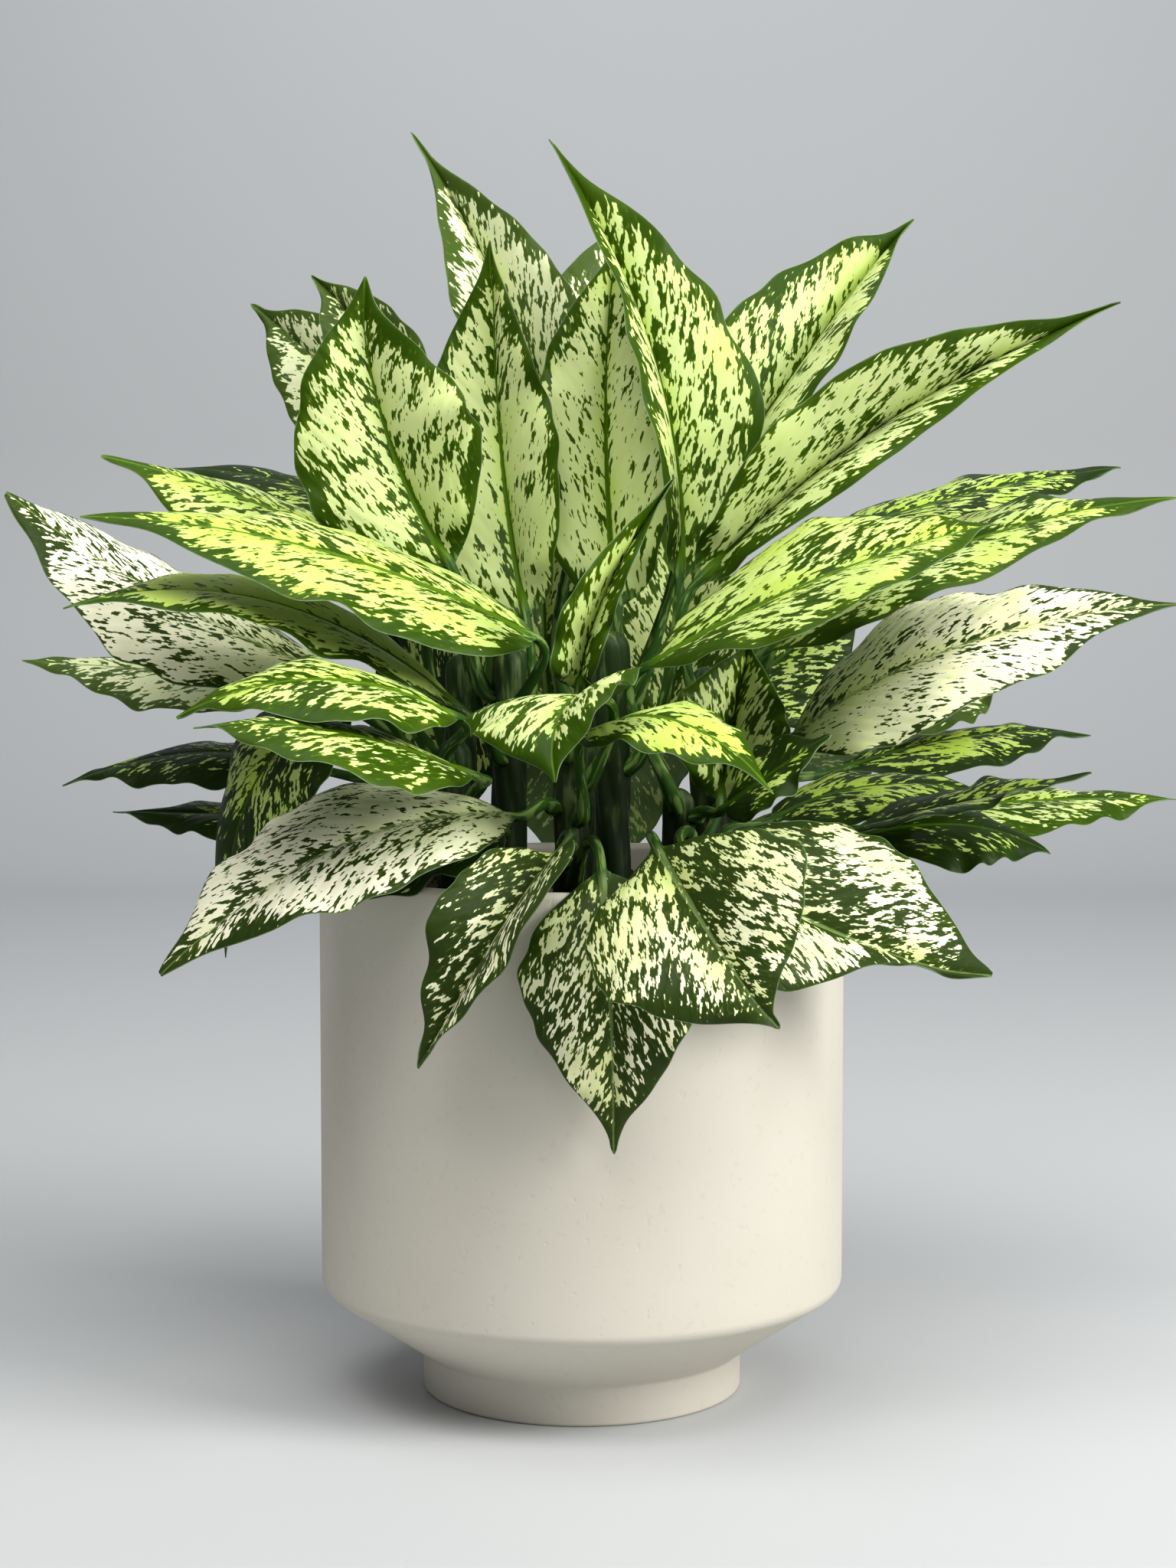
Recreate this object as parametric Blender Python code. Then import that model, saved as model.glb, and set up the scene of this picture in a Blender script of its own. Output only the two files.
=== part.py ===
"""Potted chinese evergreen: a ceramic pot, its soil, nine canes and forty-nine leaves.

The part is in metres with +Z up. Its origin is the middle of the pot's flat underside, its front faces -Y and
its right side +X. Lengths below are in millimetres, turned into metres as each mesh is made. Canes and leaves
are placed from the middle of the pot's rim.
"""

import math
from typing import NamedTuple

import bmesh
import bpy
import numpy as np

MM = 0.001
GAP = 0.3

POT_RADIUS = 126.0
POT_HEIGHT = 253.0
POT_WALL = 7.0
POT_FLOOR = 60.0
POT_SIDES = 48
FOOT_RADIUS = 77.0
FOOT_HEIGHT = 20.0
BEVEL_TOP = 49.0
EDGE = 2.0
RIM_ROUNDING = 3.5

SOIL_BELOW_RIM = 15.0
CANE_FOOT = -50.0
CANE_SIDES = 16
CANE_EDGE = 1.2

STALK_BANDS = 4
STALK_RADII = (3.6, 2.4)
STALK_FLARE = 0.8
STALK_TURN = 0.35
STALK_ANGLES = np.radians([162, 126, 90, 54, 18])

BLADE_BANDS = 11
BLADE_END = 0.985
BLADE_ACROSS = np.array([-1.0, -0.5, 0.0, 0.5, 1.0])
BLADE_THICKNESS = 1.0
BLADE_CUP = 20.0
TIP_HALF_WIDTH = 0.9
NARROWEST = 2.5
RIB_DEPTHS = (2.7, 0.5)
WAVE_HEIGHT = 2.0
WAVES = 2.5
WAVE_LAG = 0.37

CERAMIC = (0.80, 0.77, 0.71)
EARTH = (0.05, 0.035, 0.025)
CANE_GREEN = (0.40, 0.47, 0.22)
LIME = (0.42, 0.52, 0.14)
CREAM = (0.55, 0.58, 0.32)
IVORY = (0.62, 0.64, 0.45)
DARK = (0.10, 0.20, 0.07)


class Cane(NamedTuple):
    """An upright cane: where its axis stands, its radius and its top, from the middle of the rim."""

    x: float
    y: float
    radius: float
    top: float


class Leaf(NamedTuple):
    """One leaf: its stalk leaves the cane at the height `joins`, and its midrib runs from base to tip.

    A pair in `width`, `belly` or `sharp` gives the left and the right half of the blade, seen from the upper
    face with the tip away. `face` is the way that the upper face looks: azimuth (0 is the front, 90 the right)
    and elevation. `fold` is how far the halves rise from flat, `out` the azimuth at which the stalk sets off.
    """

    name: str
    cane: str
    joins: float
    base: tuple
    middle: tuple
    tip: tuple
    width: float | tuple
    face: tuple
    fold: float
    colour: tuple
    out: float | None = None
    belly: float | tuple = 0.38
    sharp: float | tuple = 1.3
    rise: float = 0.35


CANES = {
    "front": Cane(-5, -40, 8.5, 66),
    "front_right": Cane(45, -45, 8.0, 40),
    "right": Cane(60, 5, 8.5, 95),
    "middle": Cane(15, 10, 9.0, 112),
    "middle_left": Cane(-35, 5, 9.0, 106),
    "left": Cane(-60, -30, 8.5, 62),
    "back": Cane(5, 55, 8.5, 114),
    "back_left": Cane(-60, 45, 8.5, 100),
    "back_right": Cane(70, 50, 8.0, 80),
}

LEAVES = (
    Leaf("leaf_centre_1", "middle", 45, (47, 5, 137), (34, 25, 246), (-18, 20, 352),
         (66, 90), (35, 10), 45, LIME, out=70, sharp=(1.3, 1.5)),
    Leaf("leaf_centre_2", "middle", 50, (17, 28, 124), (12, 58, 227), (18, 55, 309),
         86, (-10, 10), 35, LIME, out=170, belly=0.33),
    Leaf("leaf_centre_3", "middle_left", 45, (-27, 24, 119), (-41, 57, 217), (-43, 54, 307),
         90, (-25, 5), 35, LIME, out=150, belly=0.33),
    Leaf("leaf_centre_4", "middle_left", 80, (-63, 10, 144), (-96, 20, 214), (-106, 15, 285),
         96, (-10, 0), 25, LIME, out=-90),
    Leaf("leaf_centre_5", "front", 54, (-1, -55, 87), (12, -65, 133), (44, -70, 185),
         (48, 36), (-10, -5), 65, LIME, out=-10, belly=0.3),
    Leaf("leaf_upper_1", "back", 70, (-6, 72, 194), (-41, 105, 283), (-89, 125, 372),
         80, (0, 15), 50, CREAM, sharp=1.8, out=-80),
    Leaf("leaf_upper_2", "back", 85, (6, 85, 190), (9, 128, 262), (20, 148, 334),
         76, (-10, 25), 35, CREAM, out=150),
    Leaf("leaf_upper_3", "back_left", 75, (-65, 60, 182), (-102, 105, 248), (-140, 125, 298),
         70, (-25, 20), 50, CREAM, out=60),
    Leaf("leaf_upper_4", "back_left", 60, (-78, 80, 183), (-132, 140, 245), (-179, 168, 285),
         66, (-30, 15), 25, CREAM, sharp=1.6, out=170),
    Leaf("leaf_upper_5", "back", 65, (63, 50, 174), (118, 85, 256), (170, 100, 323),
         88, (-20, 30), 50, LIME, out=80),
    Leaf("leaf_upper_6", "right", 70, (55, -5, 136), (150, 0, 215), (259, -10, 267),
         (92, 76), (-5, 10), 65, LIME, sharp=1.5, out=-20),
    Leaf("leaf_upper_7", "back", 50, (66, 90, 183), (96, 130, 212), (128, 155, 236),
         66, (-20, 60), 5, LIME, out=110),
    Leaf("leaf_right_1", "front_right", 31, (28, -55, 96), (114, -80, 140), (190, -75, 162),
         (110, 86), (-45, 55), 10, LIME, out=-10, belly=0.44),
    Leaf("leaf_right_2", "right", 50, (89, 12, 103), (185, 0, 155), (286, -10, 176),
         70, (-40, 55), 5, LIME),
    Leaf("leaf_right_3", "right", 25, (98, -40, 63), (171, -75, 107), (274, -90, 128),
         92, (-45, 45), 5, IVORY),
    Leaf("leaf_right_4", "back_right", 65, (125, 50, 159), (205, 80, 183), (277, 90, 194),
         70, (-20, 70), 0, DARK),
    Leaf("leaf_right_5", "back_right", 25, (133, 82, 41), (202, 105, 57), (267, 115, 57),
         66, (-10, 75), -5, DARK),
    Leaf("leaf_right_6", "back_right", 5, (163, 75, 20), (240, 95, 24), (310, 105, 24),
         66, (5, 75), 0, LIME),
    Leaf("leaf_right_7", "right", 5, (128, -15, 18), (185, -25, 32), (241, -35, 47),
         56, (-65, 75), 15, DARK),
    Leaf("leaf_right_8", "right", 12, (94, 25, 20), (148, 40, 36), (209, 40, 30), 66, (-10, 75), 0, DARK),
    Leaf("leaf_right_9", "back_right", -5, (139, 20, 13), (191, 20, 17), (230, 20, 2),
         70, (10, 70), -5, DARK),
    Leaf("leaf_right_10", "back_right", 40, (146, 95, 62), (189, 125, 76), (227, 140, 92),
         60, (-15, 65), 5, CREAM, out=150),
    Leaf("leaf_left_1", "middle_left", 70, (-22, -30, 110), (-126, -60, 152), (-230, -75, 165),
         100, (45, 60), 0, LIME, out=10, belly=0.32),
    Leaf("leaf_left_2", "middle_left", 50, (-56, -30, 76), (-145, -50, 127), (-239, -70, 124),
         80, (60, 65), 5, LIME),
    Leaf("leaf_left_3", "left", 50, (-122, 10, 92), (-200, 0, 129), (-274, -20, 179),
         96, (50, 45), -5, IVORY, belly=0.46, sharp=1.0),
    Leaf("leaf_left_4", "middle_left", 60, (-75, 25, 136), (-158, 40, 174), (-238, 35, 199),
         76, (30, 55), -15, LIME, out=-110),
    Leaf("leaf_left_5", "back_left", 50, (-102, 90, 164), (-155, 120, 188), (-219, 130, 196),
         60, (25, 70), 0, DARK),
    Leaf("leaf_left_6", "left", 50, (-56, -80, 75), (-118, -114, 93), (-179, -122, 75),
         74, (30, 70), 0, LIME, out=-20),
    Leaf("leaf_left_7", "left", 22, (-49, -95, 50), (-109, -140, 72), (-167, -150, 74),
         66, (60, 65), -5, LIME, out=20, rise=0.6),
    Leaf("leaf_left_8", "left", 20, (-110, 0, 76), (-157, -10, 38), (-173, 10, -50),
         80, (-50, 20), 0, DARK),
    Leaf("leaf_left_9", "back_left", 15, (-138, 50, 45), (-203, 80, 49), (-269, 90, 31),
         60, (-40, 70), -5, DARK),
    Leaf("leaf_left_10", "back_left", 0, (-122, 40, 23), (-177, 60, 20), (-239, 70, 21),
         60, (-15, 75), 0, DARK),
    Leaf("leaf_left_11", "back_left", 35, (-146, 60, 83), (-216, 90, 91), (-294, 110, 95),
         60, (-10, 65), -5, CREAM),
    Leaf("leaf_front_1", "front_right", -5, (33, -118, 20), (57, -178, -16), (82, -195, -51),
         (106, 104), (-25, 35), 15, IVORY, out=-20, sharp=(2.0, 1.5)),
    Leaf("leaf_front_2", "front", -5, (9, -122, 10), (13, -145, -49), (14, -138, -115),
         78, (-5, 15), 8, IVORY, out=10, sharp=1.5),
    Leaf("leaf_front_3", "front", 5, (-8, -108, 18), (-39, -145, -22), (-71, -140, -78),
         (84, 62), (-35, 30), 45, IVORY, out=-20),
    Leaf("leaf_front_4", "front_right", 14, (50, -105, 13), (119, -108, -22), (183, -118, -40),
         (106, 96), (15, 35), 15, IVORY, out=30, belly=(0.42, 0.28), sharp=(1.1, 5.0)),
    Leaf("leaf_front_5", "front", 30, (-31, -70, 29), (-109, -106, 18), (-188, -116, -41),
         (82, 92), (-20, 55), 5, IVORY, out=-60, belly=(0.42, 0.48), sharp=(1.15, 0.85)),
    Leaf("leaf_front_6", "left", -5, (-37, -60, 21), (-74, -86, 9), (-122, -95, -13),
         46, (-20, 75), 0, DARK, out=30),
    Leaf("leaf_front_7", "front", 40, (11, -85, 83), (-8, -130, 80), (-12, -155, 49),
         (70, 100), (-55, 60), 15, LIME, out=50),
    Leaf("leaf_front_8", "front", 25, (2, -70, 65), (41, -115, 75), (86, -140, 44),
         62, (-20, 75), 0, LIME, out=30),
    Leaf("leaf_front_9", "front_right", 10, (65, -35, 34), (72, -25, 73), (81, -25, 111),
         76, (-5, 10), 50, LIME, out=90),
    Leaf("leaf_front_10", "front_right", 26, (65, -74, 33), (88, -90, 52), (112, -95, 69),
         44, (-55, 35), 10, DARK, out=70),
    Leaf("leaf_back_1", "back", 40, (-16, 90, 66), (-20, 108, 132), (-18, 132, 200),
         84, (-5, 20), 20, LIME, out=-150),
    Leaf("leaf_back_2", "back", 28, (40, 92, 62), (48, 126, 114), (44, 160, 180), 90, (0, 20), 20, LIME),
    Leaf("leaf_back_3", "back", 12, (4, 92, 54), (4, 146, 26), (4, 184, -50), 106, (180, 40), 15, DARK),
    Leaf("leaf_back_4", "back_left", 10, (-58, 96, 20), (-78, 130, 68), (-108, 166, 124),
         96, (-10, -20), 15, DARK),
    Leaf("leaf_back_5", "back_right", 15, (80, 90, 34), (118, 148, 42), (160, 196, 14),
         90, (180, 75), 15, DARK),
    Leaf("leaf_back_6", "back_right", 48, (76, 114, 70), (108, 152, 98), (156, 184, 128),
         90, (10, 20), 15, DARK, out=180),
)


def clear_scene():
    """Removes every object that is in the scene."""
    for obj in list(bpy.data.objects):
        bpy.data.objects.remove(obj)


def material(name, colour, roughness):
    """A plain Principled material."""
    made = bpy.data.materials.new(name)
    made.use_nodes = True
    shader = made.node_tree.nodes["Principled BSDF"]
    shader.inputs["Base Color"].default_value = (*colour, 1.0)
    shader.inputs["Roughness"].default_value = roughness
    shader.inputs["Metallic"].default_value = 0.0
    made.diffuse_color = (*colour, 1.0)
    return made


def finished_object(name, bm, colour, roughness, sharp_above=40.0):
    """Puts the mesh in the scene as one object, shaded smooth except over sharp edges."""
    bmesh.ops.recalc_face_normals(bm, faces=bm.faces)
    mesh = bpy.data.meshes.new(name)
    bm.to_mesh(mesh)
    bm.free()
    mesh.shade_smooth()
    mesh.set_sharp_from_angle(angle=math.radians(sharp_above))
    mesh.materials.append(material(name, colour, roughness))
    obj = bpy.data.objects.new(name, mesh)
    bpy.context.scene.collection.objects.link(obj)
    return obj


def pot_profile():
    """The pot's section from the middle of its underside, out, up over the rim and down to its inner floor."""
    inner = POT_RADIUS - POT_WALL
    side = POT_HEIGHT - RIM_ROUNDING
    lip = [(POT_RADIUS - POT_WALL / 2 + POT_WALL / 2 * math.cos(turn), side + RIM_ROUNDING * math.sin(turn))
           for turn in np.radians([0, 45, 90, 135, 180])]
    foot = [(0, 0), (FOOT_RADIUS - EDGE, 0), (FOOT_RADIUS, EDGE), (FOOT_RADIUS, FOOT_HEIGHT)]
    shoulder = [(POT_RADIUS - EDGE, BEVEL_TOP), (POT_RADIUS, BEVEL_TOP + 2 * EDGE)]
    return foot + shoulder + lip + [(inner, POT_FLOOR), (0, POT_FLOOR)]


def make_pot():
    """Turns the pot's section about its axis."""
    bm = bmesh.new()
    points = [bm.verts.new((x * MM, 0.0, z * MM)) for x, z in pot_profile()]
    edges = [bm.edges.new(pair) for pair in zip(points, points[1:])]
    bmesh.ops.spin(bm, geom=points + edges, cent=(0, 0, 0), axis=(0, 0, 1), angle=math.tau,
                   steps=POT_SIDES, use_merge=True)
    bmesh.ops.remove_doubles(bm, verts=bm.verts, dist=0.01 * MM)
    return finished_object("pot", bm, CERAMIC, 0.75)


def add_cylinder(bm, x, y, radius, low, high, sides):
    """Adds a closed upright cylinder, given in millimetres from the middle of the rim, and returns its points."""
    made = bmesh.ops.create_cone(bm, cap_ends=True, segments=sides, radius1=radius * MM, radius2=radius * MM,
                                 depth=(high - low) * MM)
    bmesh.ops.translate(bm, verts=made["verts"], vec=(x * MM, y * MM, (POT_HEIGHT + (low + high) / 2) * MM))
    return made["verts"]


def make_soil():
    """The soil: a disc that fills the pot, with a plain blind hole round the foot of each cane."""
    holes = bmesh.new()
    for cane in CANES.values():
        add_cylinder(holes, cane.x, cane.y, cane.radius + GAP, CANE_FOOT - GAP, 0.0, CANE_SIDES)
    cutter = finished_object("soil_holes", holes, EARTH, 1.0)
    cutter.hide_render = True
    cutter.display_type = "WIRE"
    bm = bmesh.new()
    add_cylinder(bm, 0, 0, POT_RADIUS - POT_WALL - GAP, POT_FLOOR - POT_HEIGHT + GAP, -SOIL_BELOW_RIM, POT_SIDES)
    soil = finished_object("soil", bm, EARTH, 1.0)
    cut = soil.modifiers.new("holes", "BOOLEAN")
    cut.operation = "DIFFERENCE"
    cut.object = cutter
    return soil


def make_cane(name, cane):
    """One cane, with the edge of its top rounded off."""
    bm = bmesh.new()
    add_cylinder(bm, cane.x, cane.y, cane.radius, CANE_FOOT, cane.top, CANE_SIDES)
    top = (POT_HEIGHT + cane.top) * MM
    rim = [edge for edge in bm.edges if all(math.isclose(v.co.z, top, abs_tol=0.01 * MM) for v in edge.verts)]
    bmesh.ops.bevel(bm, geom=rim, offset=CANE_EDGE * MM, segments=1, affect="EDGES")
    return finished_object(f"cane_{name}", bm, CANE_GREEN, 0.6)


def unit(vectors):
    """The vectors, each one long."""
    return vectors / np.linalg.norm(vectors, axis=-1, keepdims=True)


def both(value):
    """A value for the left and the right half of a blade."""
    return value if isinstance(value, tuple) else (value, value)


def heading(azimuth, elevation=0.0):
    """The direction at this azimuth and elevation in degrees."""
    turn, lift = math.radians(azimuth), math.radians(elevation)
    return np.array([math.sin(turn) * math.cos(lift), -math.cos(turn) * math.cos(lift), math.sin(lift)])


def midrib(leaf, u):
    """Points on the midrib at lengths u from 0 to 1, with the tangent, normal and sideways direction at each."""
    base, middle, tip = (np.array(point, float) for point in (leaf.base, leaf.middle, leaf.tip))
    pull = 2 * middle - (base + tip) / 2
    u = np.asarray(u, float)[:, None]
    points = (1 - u) ** 2 * base + 2 * u * (1 - u) * pull + u ** 2 * tip
    tangents = unit(2 * (1 - u) * (pull - base) + 2 * u * (tip - pull))
    face = heading(*leaf.face)
    normals = unit(face - (tangents @ face)[:, None] * tangents)
    return points, tangents, normals, np.cross(tangents, normals)


def half_widths(leaf, u):
    """The left and right half widths at lengths u, widest at the belly and drawn out to the sharp tip."""
    halves = []
    for width, belly, sharp in zip(both(leaf.width), both(leaf.belly), both(leaf.sharp)):
        fullness = sharp * belly / (1 - belly)
        widest = belly ** fullness * (1 - belly) ** sharp
        halves.append(np.maximum(width / 2 * u ** fullness * (1 - u) ** sharp / widest, NARROWEST))
    return halves


def blade_sections(leaf, u, phase):
    """Points of the blade, one row for each length u, from its left edge to its right edge."""
    points, tangents, normals, sideways = midrib(leaf, u)
    left, right = half_widths(leaf, u)
    side, reach = np.sign(BLADE_ACROSS), np.abs(BLADE_ACROSS)
    half = np.where(side < 0, left[:, None], right[:, None])
    angle = np.radians(leaf.fold - BLADE_CUP * (reach - 0.6))
    swell = np.sin(math.tau * (WAVES * u[:, None] + phase + WAVE_LAG * side)) * np.sqrt(np.sin(math.pi * u))[:, None]
    across = side * reach * half * np.cos(angle)
    raised = reach * half * np.sin(angle) + WAVE_HEIGHT * reach ** 2 * swell
    rows = points[:, None] + sideways[:, None] * across[..., None] + normals[:, None] * raised[..., None]
    return rows, points, tangents, normals, sideways


def blade_rings(leaf, phase):
    """Rings of ten points round the blade: five over its upper face, left to right, and five back beneath."""
    u = np.linspace(0, 1, BLADE_BANDS + 1)[1:]
    u[-1] = BLADE_END
    rows, points, tangents, normals, sideways = blade_sections(leaf, u, phase)
    rings = []
    for i, row in enumerate(rows):
        if i == len(u) - 1:
            row = points[i] + sideways[i] * BLADE_ACROSS[:, None] * TIP_HALF_WIDTH
            lift = normals[i] * np.array([0.8, 1, 1, 1, 0.8])[:, None]
        else:
            lift = unit(np.cross(np.gradient(row, axis=0), tangents[i]))
            lift = np.where((lift @ normals[i] < 0)[:, None], -lift, lift)
        upper = row + lift * BLADE_THICKNESS / 2
        lower = row - lift * BLADE_THICKNESS / 2
        lower[2] = points[i] - normals[i] * np.interp(u[i], (0, 1), RIB_DEPTHS)
        rings.append(np.concatenate([upper, lower[::-1]]))
    return rings


def stalk_rings(leaf):
    """Rings of ten points along the stalk, from the side of its cane to the base of the blade."""
    cane = CANES[leaf.cane]
    axis = np.array([cane.x, cane.y, leaf.joins])
    base = np.array(leaf.base, float)
    outward = unit((base - axis) * (1, 1, 0)) if leaf.out is None else heading(leaf.out)
    start = axis + outward * (cane.radius + GAP)
    _, tangent, normal, _ = (values[0] for values in midrib(leaf, [0.0]))
    length = np.linalg.norm(base - start)
    first = start + (outward * 0.6 + np.array([0, 0, 0.8])) * length * leaf.rise
    second = base - tangent * length * STALK_TURN
    w = np.linspace(0, 1, STALK_BANDS + 1)[:, None]
    centres = (1 - w) ** 3 * start + 3 * w * (1 - w) ** 2 * first + 3 * w ** 2 * (1 - w) * second + w ** 3 * base
    tangents = unit((1 - w) ** 2 * (first - start) + 2 * w * (1 - w) * (second - first) + w ** 2 * (base - second))
    rings = []
    for k in range(STALK_BANDS, -1, -1):
        normal = unit(normal - (normal @ tangents[k]) * tangents[k])
        across, up = np.cross(tangents[k], normal), normal
        radius = np.interp(k, (0, STALK_BANDS), STALK_RADII)
        if k == 0:
            across = unit(across - (across @ outward) * outward)
            flat = np.cross(across, outward)
            up = unit(flat) * math.copysign(1.0, flat @ normal)
            radius += STALK_FLARE
        sides = across * np.cos(STALK_ANGLES)[:, None] * radius
        lifts = up * np.sin(STALK_ANGLES)[:, None] * radius
        rings.insert(0, np.concatenate([centres[k] + sides + lifts, (centres[k] + sides - lifts)[::-1]]))
    return rings


def skin(bm, rings):
    """Joins the rings with triangles and closes both ends.

    Each band between two rings is ten strips. A strip's diagonal leans one way or the other, and the strips
    of the upper face lean the same way as those right beneath them, so that the thin blade never crosses itself.
    """
    lean = (0, 1, 4, 5, 6, 9)
    loops = [[bm.verts.new(point) for point in ring] for ring in rings]
    for low, high in zip(loops, loops[1:]):
        for j in range(10):
            a, b, c, d = low[j], low[(j + 1) % 10], high[j], high[(j + 1) % 10]
            for corners in ((a, b, d), (a, d, c)) if j in lean else ((a, b, c), (b, d, c)):
                bm.faces.new(corners)
    for loop in (loops[0], loops[-1]):
        for j in range(4):
            bm.faces.new((loop[j], loop[j + 1], loop[8 - j]))
            bm.faces.new((loop[j], loop[8 - j], loop[9 - j]))


def make_leaf(leaf, phase):
    """One leaf, stalk and blade in one closed body."""
    bm = bmesh.new()
    rim = np.array([0.0, 0.0, POT_HEIGHT])
    skin(bm, [(ring + rim) * MM for ring in stalk_rings(leaf) + blade_rings(leaf, phase)])
    return finished_object(leaf.name, bm, leaf.colour, 0.4)


def main():
    """Builds the potted plant."""
    clear_scene()
    make_pot()
    make_soil()
    for name, cane in CANES.items():
        make_cane(name, cane)
    for number, leaf in enumerate(LEAVES):
        make_leaf(leaf, number * 0.618)


main()
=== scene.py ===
"""Looks of the potted chinese evergreen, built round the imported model.

Canes and leaves are listed in millimetres from the middle of the pot's rim, as the solids have them. Every
mesh is made in metres, in the model's own frame, with its object at the origin.
"""

import logging
import math
from dataclasses import dataclass
from enum import Enum
from typing import NamedTuple

import bmesh
import bpy
import numpy as np
from mathutils import Matrix, Vector, noise


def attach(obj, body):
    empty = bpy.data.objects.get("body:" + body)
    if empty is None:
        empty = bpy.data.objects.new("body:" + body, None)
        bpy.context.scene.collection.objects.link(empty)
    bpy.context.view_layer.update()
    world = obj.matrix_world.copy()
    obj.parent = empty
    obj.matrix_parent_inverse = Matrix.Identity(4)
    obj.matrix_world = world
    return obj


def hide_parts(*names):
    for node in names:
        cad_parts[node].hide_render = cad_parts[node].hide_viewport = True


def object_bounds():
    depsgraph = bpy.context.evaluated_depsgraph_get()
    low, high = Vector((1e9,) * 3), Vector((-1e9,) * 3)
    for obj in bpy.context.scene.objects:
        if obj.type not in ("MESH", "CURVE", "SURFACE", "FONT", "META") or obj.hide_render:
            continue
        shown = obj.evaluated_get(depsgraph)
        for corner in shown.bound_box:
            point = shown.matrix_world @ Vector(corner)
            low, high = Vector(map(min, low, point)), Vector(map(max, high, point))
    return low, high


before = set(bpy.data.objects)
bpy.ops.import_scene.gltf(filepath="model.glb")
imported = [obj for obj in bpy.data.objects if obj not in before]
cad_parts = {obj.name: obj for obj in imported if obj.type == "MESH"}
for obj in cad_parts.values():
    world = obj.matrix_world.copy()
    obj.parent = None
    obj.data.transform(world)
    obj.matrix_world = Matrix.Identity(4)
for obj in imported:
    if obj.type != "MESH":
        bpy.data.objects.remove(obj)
CAD_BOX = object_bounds()
LOG = logging.getLogger("evergreen")

MM = 0.001
LEAF_WELD = 0.0000005
BODY = "root"
Two = tuple[float, float]
Three = tuple[float, float, float]
Weights = tuple[float, float, float, float]
Colour = Three
Pair = float | Two
Array = np.ndarray
Piece = bpy.types.Object
Material = bpy.types.Material


class Tone(Enum):
    """How a leaf is coloured. The value is the record's material slot."""

    LIME = "leaf_lime"
    CREAM = "leaf_cream"
    IVORY = "leaf_ivory"
    # darker green leaves: partly their own darker colour, partly painted shade for leaves deep in the foliage
    # and under others
    DARK_AND_SHADED = "leaf_dark"


class CaneRow(NamedTuple):
    """An upright cane: its axis, radius and top, in millimetres from the middle of the rim."""

    x: float
    y: float
    radius: float
    top: float


class LeafRow(NamedTuple):
    """One leaf as the solids have it, with how far pale patches fill its blade and how yellow they are.

    A pair in `width`, `belly` or `sharp` gives the left and the right half of the blade, seen from the upper
    face with the tip away. `face` is the way that the upper face looks, as azimuth and elevation in degrees.
    """

    name: str
    cane: str
    joins: float
    base: Three
    middle: Three
    tip: Three
    width: Pair
    face: Two
    fold: float
    tone: Tone
    out: float | None = None
    belly: Pair = 0.38
    sharp: Pair = 1.3
    rise: float = 0.35
    fill: float = 0.5
    tint: float = 0.3


CANES: dict[str, CaneRow] = {
    "front": CaneRow(-5, -40, 8.5, 66),
    "front_right": CaneRow(45, -45, 8.0, 40),
    "right": CaneRow(60, 5, 8.5, 95),
    "middle": CaneRow(15, 10, 9.0, 112),
    "middle_left": CaneRow(-35, 5, 9.0, 106),
    "left": CaneRow(-60, -30, 8.5, 62),
    "back": CaneRow(5, 55, 8.5, 114),
    "back_left": CaneRow(-60, 45, 8.5, 100),
    "back_right": CaneRow(70, 50, 8.0, 80),
}

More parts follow.
